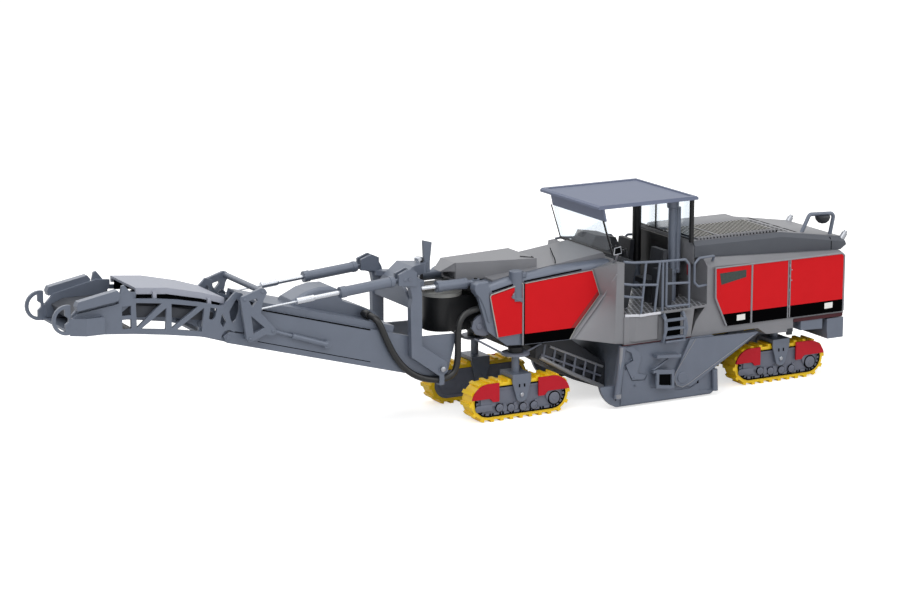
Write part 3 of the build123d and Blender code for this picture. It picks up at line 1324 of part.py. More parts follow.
# Front section of the conveyor: lattice sides, towers with two windows, tip plates and rings
lower_chord = [(121.2, 43.4), (129.0, 45.4), (142.3, 47.6), (154.6, 49.3), (166.9, 50.5)]
upper_chord = [(120.7, 55.8), (128.8, 58.0), (137.6, 59.9), (146.4, 61.2), (154.2, 62.0)]
tip_edge = [(tip_start, 51.5), (tip_start, 56.8), (175.6, 58.8), (160.0, 60.8), (tower_front, 67.0), (tower_front - 1.0, 67.3),
            (154.2, 63.0)]
hinge_end = [(119.4, 56.0), (114.9, 60.3), (112.1, 59.4), (112.1, 45.0), (115.4, 45.9), fold_pivot]
inner_face = boom_half - boom_wall - fold_fit
with BuildPart() as front_boom:
    with BuildSketch(side(boom_half)):
        Polygon(*lower_chord, *tip_edge, *reversed(upper_chord), *hinge_end, align=None)
        for points in truss_windows:
            Polygon(*points, align=None, mode=Mode.SUBTRACT)
        for low in tower_windows:
            with Locations((tower_rear + window_side / 2, low + window_side / 2)):
                Rectangle(window_side, window_side, mode=Mode.SUBTRACT)
        with Locations(fold_pivot):
            Circle(notch_radius, mode=Mode.SUBTRACT)
    extrude(amount=boom_wall)
    with BuildSketch(side(inner_face)):
        Polygon((fold_pivot[0], fold_pivot[1] - 2.0), (129.0, 45.4), (129.0, 48.8), (fold_pivot[0], fold_pivot[1] + 2.0),
                align=None)
        with Locations(fold_pivot):
            Circle(2.0)
            Circle(fold_pin_radius + lift_pin_fit, mode=Mode.SUBTRACT)
    extrude(amount=boom_wall)
    with BuildSketch(side(boom_half - boom_wall)):
        Polygon((123.4, 45.4), (129.0, 46.6), (129.0, 47.6), (123.4, 46.4), align=None)
    extrude(amount=boom_wall)

    # Inner walls of the tip, the box beside them and the bar above it
    plate([(152.9, 61.0), (152.9, 64.0), (158.0, 64.5), (174.4, 61.0), (177.2, 58.2), (177.2, 52.6), (166.8, 52.0),
           (158.0, 57.6)], boom_half - 2 * boom_wall, boom_half - boom_wall)
    with BuildSketch(level(box_low)):
        Polygon((178.4, boom_half), (173.4, boom_half + box_out), (166.6, boom_half + box_out), (166.2, boom_half), align=None)
    extrude(amount=box_high - box_low)
    with BuildSketch(level(box_high - 2.6)):
        Polygon((176.0, boom_half + 0.7), (173.0, boom_half + box_out - 0.7), (167.3, boom_half + box_out - 0.7),
                (167.1, boom_half + 0.7), align=None)
    extrude(amount=3.0, mode=Mode.SUBTRACT)
    plate([(160.7, 62.3), (176.0, 60.2), (176.5, 61.8), (175.7, 63.4), (161.0, 66.1), (159.8, 64.6)],
          boom_half - boom_wall, boom_half + bar_out)

    # Open ring at the tip with a flat side and a notch
    with BuildSketch(side(boom_half)):
        with Locations((tip_ring_station, tip_ring_height)):
            Circle(tip_ring_radius)
        Polygon((160, 40), (tip_start - 0.1, 40), (tip_start - 0.1, 70), (160, 70), align=None, mode=Mode.SUBTRACT)
    extrude(amount=boom_wall)
    with BuildSketch(side(boom_half)) as ring_hole:
        with Locations((tip_ring_station, tip_ring_height)):
            Circle(tip_ring_radius - tip_ring_bar)
        Polygon((160, 40), (ring_flat, 40), (ring_flat, 70), (160, 70), align=None, mode=Mode.SUBTRACT)
        Polygon((ring_flat + 0.1, tip_ring_height + 1.6), (ring_flat - 1.3, tip_ring_height + 0.6),
                (ring_flat - 1.3, tip_ring_height - 0.6), (ring_flat + 0.1, tip_ring_height - 1.8), align=None)
    extrude(amount=boom_wall, mode=Mode.SUBTRACT)
    mirror(about=Plane.XZ)

    # Floor at the hinge and under the tip; the lattice between them is open below
    for part_line in ([(123.4, 44.0), (127.6, 45.1)], [(152.4, 49.0), (154.6, 49.3), (166.9, 50.5), (tip_start, 51.5)]):
        plate(part_line + [(x, z + 1.0) for x, z in reversed(part_line)], boom_wall - boom_half, boom_half - boom_wall)
front_boom.part.label = "front_boom"
export_step(front_boom.part, "parts/front_boom.step")

# Pale cover sheet over the front section's belt, with upright edges on short brackets
cover_line = [(118.5, 58.2), (127.4, 61.1), (140.7, 64.2), (152.6, 65.4)]
with BuildPart() as front_cover:
    plate(cover_line + [(x, z - cover_sheet) for x, z in reversed(cover_line)], -cover_half, cover_half)
    for hand in (-1, 1):
        low, high = sorted((hand * (cover_half - cover_sheet), hand * cover_half))
        plate(cover_line + [(x, z - cover_drop) for x, z in reversed(cover_line)], low, high)
        low, high = sorted((hand * (cover_half - 0.2), hand * (boom_half - boom_wall)))
        for station, height in cover_feet:
            plate([(station, height), (station + 1.4, height + 0.3), (station + 1.4, height - 2.6), (station, height - 2.8)],
                  low, high)
front_cover.part.label = "front_cover"
export_step(front_cover.part, "parts/front_cover.step")

# Rubber belt that shows through the lattice and at the tip
with BuildPart() as front_belt:
    plate([(122.6, 53.0), (140.0, 57.0), (154.0, 59.0), (171.0, 59.2), (175.6, 57.4), (174.4, 54.8), (156.0, 55.0),
           (140.0, 53.4), (123.0, 49.8)], 2 * boom_wall + belt_gap - boom_half, boom_half - 2 * boom_wall - belt_gap)
front_belt.part.label = "front_belt"
export_step(front_belt.part, "parts/front_belt.step")

# Hose in two lengths that meet at the clip
with BuildPart() as hose_rear:
    tube([(block_front, 14.4, 43.6), (21.8, 14.4, 43.6), (24.6, hose_gauge, 37.0), (24.6, hose_gauge, 24.0),
          (28.0, hose_gauge, hose_low), (hose_split, hose_gauge, hose_low)], hose_radius, 2.4)
hose_rear.part.label = "hose_rear"
export_step(hose_rear.part, "parts/hose_rear.step")

with BuildPart() as hose_front:
    tube([(hose_split, hose_gauge, hose_low), (38.0, hose_gauge, hose_low), (46.5, hose_gauge, 22.2),
          (53.4, hose_gauge, 32.6), (59.6, hose_gauge, 44.8), (59.6, hump_half, 44.8)], hose_radius, 2.4)
hose_front.part.label = "hose_front"
export_step(hose_front.part, "parts/hose_front.step")
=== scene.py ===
import bpy
import math
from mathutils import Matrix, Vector


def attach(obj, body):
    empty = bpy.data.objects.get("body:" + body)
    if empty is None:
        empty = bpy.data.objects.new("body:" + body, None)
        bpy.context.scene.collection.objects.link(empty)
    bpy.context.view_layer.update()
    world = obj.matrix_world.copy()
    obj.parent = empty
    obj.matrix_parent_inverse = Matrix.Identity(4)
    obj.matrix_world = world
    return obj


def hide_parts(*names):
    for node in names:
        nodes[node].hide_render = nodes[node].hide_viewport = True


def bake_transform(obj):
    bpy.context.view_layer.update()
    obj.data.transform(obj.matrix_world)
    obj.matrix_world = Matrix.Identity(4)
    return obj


# A moulded display model of a cold planer, dressed around its CAD frame.
# Everything is in metres in the frame's own axes: nose towards +X, left side +Y.
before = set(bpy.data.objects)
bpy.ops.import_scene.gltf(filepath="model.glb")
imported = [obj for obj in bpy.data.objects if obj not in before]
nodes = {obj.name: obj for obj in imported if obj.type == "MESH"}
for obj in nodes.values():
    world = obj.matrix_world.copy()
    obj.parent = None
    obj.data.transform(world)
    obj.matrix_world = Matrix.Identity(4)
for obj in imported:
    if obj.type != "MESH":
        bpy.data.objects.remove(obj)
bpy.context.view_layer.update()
mm = 0.001
frontLegs = -16.5019 * mm  # where the front legs stand; stations are counted from there
print("frame loaded:", len(nodes), "nodes")


def at(x, y, z):  # station, distance from the middle and height, in millimetres
    return Vector((frontLegs + x * mm, y * mm, z * mm))


def toLinear(code):  # sRGB hex to the linear colour that shaders take
    parts = [int(code[i:i + 2], 16) / 255 for i in (1, 3, 5)]
    return tuple(c / 12.92 if c <= 0.04045 else ((c + 0.055) / 1.055) ** 2.4 for c in parts) + (1.0,)


def addNode(tree, kind, settings=None, links=None):  # one node with its sockets set and its inputs linked
    node = tree.nodes.new(kind)
    for key, value in (settings or {}).items():
        if isinstance(key, int) or key in node.inputs:
            node.inputs[key].default_value = value
        else:
            setattr(node, key, value)
    for key, source in (links or {}).items():
        tree.links.new(source, node.inputs[key])
    return node


def newMaterial(name):
    material = bpy.data.materials.new(name)
    material.use_nodes = True
    tree = material.node_tree
    tree.nodes.clear()
    shader = addNode(tree, "ShaderNodeBsdfPrincipled")
    output = addNode(tree, "ShaderNodeOutputMaterial")
    tree.links.new(shader.outputs["BSDF"], output.inputs["Surface"])
    return material, tree, shader


def setShader(shader, settings):
    for key, value in settings.items():
        shader.inputs[key].default_value = value


# Lacquered or moulded surface: slight mottling, an uneven gloss, a fine grain and softened edges.
# spec: base and shade colours, roughness low and high, mottle and grain size in mm, grain depth in mm,
# edge radius in mm, then shader settings.
def finishedSurface(name, spec):
    material, tree, shader = newMaterial(name)
    place = addNode(tree, "ShaderNodeTexCoord")
    mottle = addNode(tree, "ShaderNodeTexNoise",
                     {"Scale": 1 / (spec["mottle"] * mm), "Detail": 3.0, "Roughness": 0.55},
                     {"Vector": place.outputs["Object"]})
    tint = addNode(tree, "ShaderNodeMix", {"data_type": "RGBA"})
    tint.inputs["A"].default_value = toLinear(spec["shade"])
    tint.inputs["B"].default_value = toLinear(spec["base"])
    tree.links.new(mottle.outputs["Fac"], tint.inputs["Factor"])
    tree.links.new(tint.outputs["Result"], shader.inputs["Base Color"])
    gloss = addNode(tree, "ShaderNodeMapRange", {"To Min": spec["rough"][0], "To Max": spec["rough"][1]},
                    {"Value": mottle.outputs["Fac"]})
    tree.links.new(gloss.outputs["Result"], shader.inputs["Roughness"])
    grain = addNode(tree, "ShaderNodeTexNoise",
                    {"Scale": 1 / (spec["grain"] * mm), "Detail": 2.0},
                    {"Vector": place.outputs["Object"]})
    softEdge = addNode(tree, "ShaderNodeBevel", {"samples": 4, "Radius": spec["edge"] * mm})
    relief = addNode(tree, "ShaderNodeBump", {"Strength": 0.5, "Distance": spec["depth"] * mm},
                     {"Height": grain.outputs["Fac"], "Normal": softEdge.outputs["Normal"]})
    tree.links.new(relief.outputs["Normal"], shader.inputs["Normal"])
    setShader(shader, spec.get("shader", {}))
    return material


# Die-cast zinc sprayed with satin lacquer: even colour, soft highlights along the rounded edges
slateLacquer = finishedSurface("slateLacquerOnZinc", {
    "base": "#6e7685", "shade": "#626a79", "rough": (0.36, 0.44), "mottle": 9.0, "grain": 0.35,
    "depth": 0.012, "edge": 0.22,
    "shader": {"Metallic": 0.15, "IOR": 1.5, "Coat Weight": 0.15, "Coat Roughness": 0.25}})
warmLacquer = finishedSurface("warmGreyLacquerOnZinc", {
    "base": "#86878c", "shade": "#7a7b80", "rough": (0.4, 0.48), "mottle": 9.0, "grain": 0.35, "depth": 0.012,
    "edge": 0.22, "shader": {"Metallic": 0.1, "IOR": 1.5, "Coat Weight": 0.1, "Coat Roughness": 0.3}})
roofLacquer = finishedSurface("slateLacquerOnRoof", {
    "base": "#767e94", "shade": "#6d758b", "rough": (0.4, 0.48), "mottle": 12.0, "grain": 0.35, "depth": 0.01,
    "edge": 0.22, "shader": {"Metallic": 0.1, "IOR": 1.5, "Specular IOR Level": 0.2}})
# Printed red over lacquer: stronger colour, tighter gloss
redPrint = finishedSurface("redPrintedLacquer", {
    "base": "#da1720", "shade": "#cf131b", "rough": (0.42, 0.5), "mottle": 14.0, "grain": 0.3, "depth": 0.006,
    "edge": 0.15, "shader": {"IOR": 1.5, "Specular IOR Level": 0.12}})
# Deep red: the extinguisher's own colour, and painted shade on the red panels' chamfer
deepRedAndRedShade = finishedSurface("deepRedLacquerAndPaintedShade", {
    "base": "#960b12", "shade": "#88090f", "rough": (0.34, 0.4), "mottle": 14.0, "grain": 0.3, "depth": 0.006,
    "edge": 0.12, "shader": {"IOR": 1.5}})
blackPrint = finishedSurface("blackPrintedLacquer", {
    "base": "#080809", "shade": "#050506", "rough": (0.4, 0.46), "mottle": 14.0, "grain": 0.3, "depth": 0.006,
    "edge": 0.15, "shader": {"IOR": 1.45, "Specular IOR Level": 0.0}})
# Matt black: dark seams, and painted shade in gaps, slots and holes where the light doesn't reach; takes the
# light away
mattBlackAndShade = finishedSurface("mattBlackAndPaintedShade", {
    "base": "#101113", "shade": "#0b0c0d", "rough": (0.62, 0.72), "mottle": 4.0, "grain": 0.25, "depth": 0.01,
    "edge": 0.08, "shader": {"IOR": 1.4, "Specular IOR Level": 0.0}})
# Painted highlight on the panels' edges and the louvre tops, paler than the body: a soft line of light; the
# mid grey one is a painted highlight on rims, ridges, edges and beams, and the guide posts' own grey
paleHighlight = finishedSurface("paintedHighlightOnRims", {
    "base": "#b4b3ad", "shade": "#a5a49f", "rough": (0.36, 0.44), "mottle": 5.0, "grain": 0.3, "depth": 0.008,
    "edge": 0.1, "shader": {"Metallic": 0.15}})
rimGreyAndHighlight = finishedSurface("midGreyAndPaintedHighlightOnRims", {
    "base": "#93959b", "shade": "#85878d", "rough": (0.36, 0.44), "mottle": 6.0, "grain": 0.3, "depth": 0.008,
    "edge": 0.12, "shader": {"Metallic": 0.1}})
# Underside plate in dark plum: nearly black, a red cast in the light
plumLacquer = finishedSurface("plumLacquerOnUnderside", {
    "base": "#4c2329", "shade": "#3b1a20", "rough": (0.45, 0.55), "mottle": 6.0, "grain": 0.3, "depth": 0.01,
    "edge": 0.12, "shader": {"IOR": 1.5, "Specular IOR Level": 0.2}})
# Printed mesh behind the panel's vent: dark green-grey with pale specks
ventGreen = finishedSurface("printedVentMesh", {
    "base": "#3d4c48", "shade": "#1c2422", "rough": (0.5, 0.6), "mottle": 0.9, "grain": 0.3, "depth": 0.02,
    "edge": 0.08, "shader": {"IOR": 1.48}})
# The hood's side bands are sprayed darker than the rest of the body
hoodLacquer = finishedSurface("darkSlateLacquerOnHood", {
    "base": "#53575f", "shade": "#494d55", "rough": (0.4, 0.48), "mottle": 10.0, "grain": 0.35, "depth": 0.01,
    "edge": 0.22, "shader": {"Metallic": 0.1, "IOR": 1.5}})
# Injection-moulded ABS: coloured through, a faint satin grain from the tool
yellowAbs = finishedSurface("yellowMouldedAbs", {
    "base": "#ffda1e", "shade": "#fccc12", "rough": (0.36, 0.46), "mottle": 5.0, "grain": 0.25,
    "depth": 0.015, "edge": 0.18,
    "shader": {"IOR": 1.53, "Subsurface Weight": 0.05, "Subsurface Radius": (0.001, 0.0006, 0.0002)}})
slateAbs = finishedSurface("slateMouldedAbs", {
    "base": "#6d7281", "shade": "#616674", "rough": (0.4, 0.5), "mottle": 5.0, "grain": 0.25, "depth": 0.015,
    "edge": 0.2, "shader": {"IOR": 1.53}})
crimsonAbs = finishedSurface("crimsonMouldedAbs", {
    "base": "#c2182a", "shade": "#b61425", "rough": (0.4, 0.48), "mottle": 6.0, "grain": 0.25, "depth": 0.012,
    "edge": 0.15, "shader": {"IOR": 1.53, "Specular IOR Level": 0.2}})
# Black moulded ABS; the same black is also painted shade on the cab's back wall
blackAbsAndShade = finishedSurface("blackMouldedAbsAndPaintedShade", {
    "base": "#1b1c1f", "shade": "#131416", "rough": (0.36, 0.46), "mottle": 6.0, "grain": 0.25,
    "depth": 0.015, "edge": 0.2, "shader": {"IOR": 1.53, "Specular IOR Level": 0.3}})
charcoalAbs = finishedSurface("charcoalMouldedAbs", {
    "base": "#33363c", "shade": "#292b30", "rough": (0.42, 0.52), "mottle": 5.0, "grain": 0.25, "depth": 0.02,
    "edge": 0.2, "shader": {"IOR": 1.53, "Specular IOR Level": 0.3}})
paleAbs = finishedSurface("paleMouldedAbs", {
    "base": "#a7abb8", "shade": "#989caa", "rough": (0.36, 0.46), "mottle": 8.0, "grain": 0.3, "depth": 0.015,
    "edge": 0.2, "shader": {"IOR": 1.53}})
ringAbs = finishedSurface("lightGreyMouldedAbs", {
    "base": "#a3a4a2", "shade": "#949593", "rough": (0.38, 0.46), "mottle": 6.0, "grain": 0.25,
    "depth": 0.015, "edge": 0.2, "shader": {"IOR": 1.53}})
# Ribbed rubber belt and soft vinyl hose: broad dull highlights
# The belt's grey is darkened part way towards the shade inside the boom: partly painted shade
beltRubber = finishedSurface("greyBeltRubber", {
    "base": "#3f424a", "shade": "#33363c", "rough": (0.6, 0.72), "mottle": 4.0, "grain": 0.3, "depth": 0.03,
    "edge": 0.15, "shader": {"IOR": 1.52}})
hoseVinyl = finishedSurface("blackSoftVinyl", {
    "base": "#18191b", "shade": "#111214", "rough": (0.34, 0.44), "mottle": 4.0, "grain": 0.3, "depth": 0.01,
    "edge": 0.1, "shader": {"IOR": 1.52}})
darkCast = finishedSurface("darkSprayedZinc", {
    "base": "#44474f", "shade": "#373a41", "rough": (0.4, 0.5), "mottle": 4.0, "grain": 0.25, "depth": 0.02,
    "edge": 0.15, "shader": {"Metallic": 0.3}})
# Vacuum-plated chrome on thin rods: bright, with faint draw lines
platedChrome = finishedSurface("platedChrome", {
    "base": "#cfd2d8", "shade": "#b9bdc4", "rough": (0.18, 0.28), "mottle": 3.0, "grain": 0.2, "depth": 0.006,
    "edge": 0.1, "shader": {"Metallic": 1.0}})
silverPaint = finishedSurface("brushedSilverPaint", {
    "base": "#b4b7bd", "shade": "#9a9da3", "rough": (0.34, 0.46), "mottle": 2.0, "grain": 0.2, "depth": 0.01,
    "edge": 0.1, "shader": {"Metallic": 0.85}})
whiteLabel = finishedSurface("whitePrintedPlate", {
    "base": "#f1f1ee", "shade": "#e9e9e6", "rough": (0.34, 0.4), "mottle": 6.0, "grain": 0.3, "depth": 0.004,
    "edge": 0.08, "shader": {"IOR": 1.5}})
print("materials made")


# Clear moulded polystyrene: nearly invisible face on, a faint cool tint and sharp reflections
def clearPolystyrene():
    material, tree, shader = newMaterial("clearPolystyrene")
    clear = addNode(tree, "ShaderNodeBsdfTransparent", {"Color": toLinear("#f4f8fb")})
    mirror = addNode(tree, "ShaderNodeBsdfGlossy", {"Color": toLinear("#ffffff"), "Roughness": 0.03})
    edgeOn = addNode(tree, "ShaderNodeLayerWeight", {"Blend": 0.12})
    mix = addNode(tree, "ShaderNodeMixShader", None,
                  {"Fac": edgeOn.outputs["Facing"], 1: clear.outputs["BSDF"], 2: mirror.outputs["BSDF"]})
    output = [n for n in tree.nodes if n.type == "OUTPUT_MATERIAL"][0]
    tree.links.new(mix.outputs["Shader"], output.inputs["Surface"])
    tree.nodes.remove(shader)
    return material


clearPane = clearPolystyrene()


# Stamped aluminium tread: a diamond every 2 mm along and 5.2 mm across, pale ribs round openings of painted
# shade.
# It is drawn on the flat faces only. Upright faces take a painted highlight at the front edge and painted
# shade behind it.
def stampedAluminium(spec):
    material, tree, shader = newMaterial("stampedAluminiumTread")
    place = addNode(tree, "ShaderNodeTexCoord")
    axes = addNode(tree, "ShaderNodeSeparateXYZ", None, {0: place.outputs["Object"]})
    along = addNode(tree, "ShaderNodeMath", {"operation": "MULTIPLY", 1: 1 / (spec["long"] * mm)},
                    {0: axes.outputs["X"]})
    over = addNode(tree, "ShaderNodeMath", {"operation": "MULTIPLY", 1: 1 / (spec["wide"] * mm)},
                   {0: axes.outputs["Y"]})
    slants = []  # for each slant, how far a point is from the middle between two ribs
    for kind in ("ADD", "SUBTRACT"):
        line = addNode(tree, "ShaderNodeMath", {"operation": kind},
                       {0: along.outputs["Value"], 1: over.outputs["Value"]})
        part = addNode(tree, "ShaderNodeMath", {"operation": "FRACT"}, {0: line.outputs["Value"]})
        middle = addNode(tree, "ShaderNodeMath", {"operation": "SUBTRACT", 1: 0.5},
                         {0: part.outputs["Value"]})
        slants.append(addNode(tree, "ShaderNodeMath", {"operation": "ABSOLUTE"},
                              {0: middle.outputs["Value"]}))
    nearest = addNode(tree, "ShaderNodeMath", {"operation": "MAXIMUM"},
                      {0: slants[0].outputs["Value"], 1: slants[1].outputs["Value"]})
    rib = addNode(tree, "ShaderNodeMapRange", {"From Min": spec["open"], "From Max": spec["ribFrom"]},
                  {"Value": nearest.outputs["Value"]})
    facing = addNode(tree, "ShaderNodeNewGeometry")
    normal = addNode(tree, "ShaderNodeSeparateXYZ", None, {0: facing.outputs["Normal"]})
    upright = addNode(tree, "ShaderNodeMath", {"operation": "LESS_THAN", 1: 0.5}, {0: normal.outputs["Z"]})
    forward = addNode(tree, "ShaderNodeMath", {"operation": "GREATER_THAN", 1: spec["edgeFrom"]},
                      {0: axes.outputs["X"]})
    shine = addNode(tree, "ShaderNodeMapRange", {"To Min": 0.3, "To Max": 1.0},
                    {"Value": forward.outputs["Value"]})
    bright = addNode(tree, "ShaderNodeMix", {"data_type": "FLOAT"},
                     {"Factor": upright.outputs["Value"], "A": rib.outputs["Result"],
                      "B": shine.outputs["Result"]})
    tint = addNode(tree, "ShaderNodeMix", {"data_type": "RGBA"})
    tint.inputs["A"].default_value = toLinear(spec["dark"])
    tint.inputs["B"].default_value = toLinear(spec["light"])
    tree.links.new(bright.outputs["Result"], tint.inputs["Factor"])
    tree.links.new(tint.outputs["Result"], shader.inputs["Base Color"])
    relief = addNode(tree, "ShaderNodeBump", {"Strength": 0.6, "Distance": spec["depth"] * mm},
                     {"Height": bright.outputs["Result"]})
    tree.links.new(relief.outputs["Normal"], shader.inputs["Normal"])
    setShader(shader, {"Metallic": 0.5, "Roughness": 0.3})
    return material


stampedDeck = stampedAluminium({"long": 2.0, "wide": 5.2, "open": 0.3, "ribFrom": 0.36, "depth": 0.12,
                               "dark": "#17181c", "light": "#d9dbe2", "edgeFrom": at(-57.4, 0, 0).x})

# Which finish each CAD node takes
finishOf = {
    "nose_cowl": slateLacquer, "main_frame": blackAbsAndShade, "front_duct": warmLacquer,
    "column_sleeves": slateLacquer, "side_panels": redPrint, "lower_bands": blackPrint,
    "mid_body": warmLacquer, "rear_body": warmLacquer,
    # hood_grilles take the matt black as painted shade on the louvre slats' fronts
    "engine_hood": hoodLacquer, "hood_grilles": mattBlackAndShade, "exhausts": silverPaint, "grab_loop": slateLacquer,
    "platform_deck": stampedDeck, "railings": slateLacquer, "ladders": slateLacquer, "consoles": charcoalAbs,
    "seats": charcoalAbs, "canopy_posts": slateLacquer, "canopy_roof": roofLacquer, "canopy_glass": clearPane,
    "drum_housing": slateLacquer, "milling_drum": darkCast, "side_plates": slateLacquer,
    "support_arms": slateLacquer, "rear_beam": slateLacquer, "loading_conveyor": charcoalAbs,
    "steering_links": slateAbs, "turret": blackAbsAndShade, "turret_ring": ringAbs, "slew_frame": slateLacquer,
    "slew_barrel_left": slateLacquer, "slew_barrel_right": slateLacquer, "slew_rod_left": platedChrome,
    "slew_rod_right": platedChrome, "lift_barrels": slateLacquer, "lift_rods": platedChrome,
    "rear_boom": slateLacquer, "knee_plates": slateLacquer, "fold_cylinders": slateLacquer,
    "front_boom": slateLacquer, "front_cover": paleAbs, "front_belt": beltRubber, "hose_rear": hoseVinyl,
    "hose_front": hoseVinyl,
}
for corner in ("front_left", "front_right", "rear_left", "rear_right"):
    finishOf["track_belt_" + corner] = yellowAbs
    finishOf["track_frame_" + corner] = slateAbs
    finishOf["track_guard_" + corner] = crimsonAbs
    finishOf["track_leg_" + corner] = slateLacquer
for name, piece in nodes.items():
    for place in range(len(piece.data.materials)):
        piece.data.materials[place] = finishOf[name]
print("CAD nodes dressed")


# Where an outline's two numbers and its depth go, by the axis that it is extruded along
outlinePlace = {
    "x": lambda u, v, w: at(w, u, v),
    "y": lambda u, v, w: at(u, w, v),
    "z": lambda u, v, w: at(u, v, w),
}


def pickOnly(piece):
    bpy.ops.object.select_all(action="DESELECT")
    piece.select_set(True)
    bpy.context.view_layer.objects.active = piece


def outlinePlate(points, near, far, axis="y", rounding=0.0):  # a flat outline given thickness, edges rounded
    bpy.ops.object.select_all(action="DESELECT")
    bpy.ops.mesh.primitive_circle_add(vertices=len(points), radius=0.01, fill_type="NGON")
    piece = bpy.context.object
    place = outlinePlace[axis]
    for vertex, (u, v) in zip(piece.data.vertices, points):
        vertex.co = place(u, v, near)
    bpy.ops.object.mode_set(mode="EDIT")
    bpy.ops.mesh.select_all(action="SELECT")
    bpy.ops.mesh.extrude_region_move(TRANSFORM_OT_translate={"value": place(0, 0, far) - place(0, 0, near)})
    bpy.ops.mesh.select_all(action="SELECT")
    bpy.ops.mesh.normals_make_consistent(inside=False)
    bpy.ops.object.mode_set(mode="OBJECT")
    if rounding:
        soft = piece.modifiers.new("soft", "BEVEL")
        soft.width = rounding * mm
        soft.segments = 4 if rounding > 0.5 else 2
        bpy.ops.object.modifier_apply(modifier="soft")
    return piece


def turnedPiece(profile, foot, toward, sides=24):  # heights and radii from the foot, along one direction
    bpy.ops.object.select_all(action="DESELECT")
    height, radius = profile[0]
    bpy.ops.mesh.primitive_circle_add(vertices=sides, radius=radius * mm, fill_type="NGON")
    piece = bpy.context.object
    bpy.ops.object.mode_set(mode="EDIT")
    bpy.ops.mesh.select_all(action="SELECT")
    bpy.ops.transform.translate(value=(0, 0, height * mm))
    for reach, wide in profile[1:]:
        bpy.ops.mesh.extrude_region_move(TRANSFORM_OT_translate={"value": (0, 0, (reach - height) * mm)})
        bpy.ops.transform.resize(value=(wide / radius, wide / radius, 1))
        height, radius = reach, wide
    bpy.ops.mesh.select_all(action="SELECT")
    bpy.ops.mesh.normals_make_consistent(inside=False)
    bpy.ops.object.mode_set(mode="OBJECT")
    piece.location = at(*foot)
    piece.rotation_euler = Vector(toward).to_track_quat("Z", "Y").to_euler()
    bpy.ops.object.transform_apply()
    return piece


def roundBar(points, radius, smooth=False, fine=2):  # a bar or tube along points, straight or smoothly curved
    line = bpy.data.curves.new("bar", "CURVE")
    line.dimensions = "3D"
    line.bevel_depth = radius * mm
    line.bevel_resolution = fine
    line.use_fill_caps = True
    spline = line.splines.new("NURBS" if smooth else "POLY")
    spline.points.add(len(points) - 1)
    for point, place in zip(spline.points, points):
        point.co = (*at(*place), 1)
    if smooth:
        spline.order_u = 3
        spline.use_endpoint_u = True
        spline.resolution_u = 8
    bar = bpy.data.objects.new("bar", line)
    bpy.context.scene.collection.objects.link(bar)
    pickOnly(bar)
    bpy.ops.object.convert(target="MESH")
    return bpy.context.object


def faceBar(outline, side, radius, fine=2):  # a bar on an upright face, along stations and heights
    return roundBar([(x, side, z) for x, z in outline], radius, fine=fine)


def joinPieces(pieces):
    bpy.ops.object.select_all(action="DESELECT")
    for piece in pieces:
        piece.select_set(True)
    bpy.context.view_layer.objects.active = pieces[0]
    if len(pieces) > 1:
        bpy.ops.object.join()
    return bpy.context.object


def spreadCopies(piece, places):  # the piece stands at the first place, and copies of it go to the others
    copies = [piece]
    for place in places[1:]:
        twin = piece.copy()
        twin.data = piece.data.copy()
        twin.location = (Vector(place) - Vector(places[0])) * mm
        bpy.context.scene.collection.objects.link(twin)
        copies.append(twin)
    return joinPieces(copies)


def finishPiece(piece, name, material, body, bothSides=False, angle=35):
    pickOnly(piece)
    if bothSides:
        twin = piece.modifiers.new("twin", "MIRROR")
        twin.use_axis = (False, True, False)
        twin.use_mirror_merge = False
        bpy.ops.object.modifier_apply(modifier="twin")
        bpy.ops.object.mode_set(mode="EDIT")
        bpy.ops.mesh.select_all(action="SELECT")
        bpy.ops.mesh.normals_make_consistent(inside=False)
        bpy.ops.object.mode_set(mode="OBJECT")
    piece.name = name
    piece.data.name = name
    piece.data.materials.clear()
    piece.data.materials.append(material)
    bpy.ops.object.shade_smooth_by_angle(angle=math.radians(angle))
    if body:
        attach(piece, body)
    return piece


def boltHead(place, toward, radius=0.55, high=0.4):  # low domed head of a small screw or rivet
    return turnedPiece([(-0.3, radius), (high * 0.6, radius), (high, radius * 0.6)], place, toward, 10)


# In the dictionaries below, outlines on upright faces are (station, height), flat ones (station, side)
# and those across the model (side, height), all in millimetres.

# Engine hood: warm grey top and front faces over the dark side bands, black painted shade on the bed under
# the louvre slats and in the slots, pale painted highlight on the slats' tops
hoodSpec = {
    "half": 18.6, "top": 60.9, "proud": 0.12, "front": -77.5, "back": -119.0, "backTop": 60.6,
    "tail": -148.6, "tailTop": 56.1,
    "face": [(-20.0, 52.0), (20.0, 52.0), (20.2, 58.8), (18.2, 60.9), (-18.2, 60.9), (-20.2, 58.8)],
    "cover": [(-79.8, 60.9), (-80.4, 61.9), (-117.4, 61.9), (-118.6, 60.6)],
    "bed": [(-80.7, 60.9), (-80.7, 61.34), (-117.8, 61.34), (-117.8, 60.6)],
    "slotRows": (-119.3, -121.3, -123.3), "slotSide": -9.4, "slotWide": 1.9, "slotPitch": 3.0, "slotCount": 9,
    "longSlots": ((-17.6, -9.6), (-8.0, -1.6), (0.0, 6.0), (7.4, 16.4)),
    "ridge": [(-90.6, -2.0, 61.75), (-89.8, 3.0, 61.9), (-91.0, 8.0, 61.9), (-89.9, 13.0, 61.9),
              (-90.6, 18.2, 61.75)],
    "louvreEnd": [(-80.5, 15.4), (-81.2, 15.4), (-81.3, 18.5), (-80.4, 18.5)],
    "louvreTop": [(-80.5, -4.6), (-81.1, -4.6), (-81.1, 15.5), (-80.5, 15.5)],
    "louvreCount": 24, "louvrePitch": 1.55,
    "seam": [(-142.6, 20.62, 51.6), (-142.6, 20.62, 54.8), (-142.4, 19.7, 56.6)],
    "lamp": (-142.2, 14.5, 61.2), "exhaust": (-148.6, 18.7, 54.6), "exhaustWay": (-0.574, 0, 0.819),
}


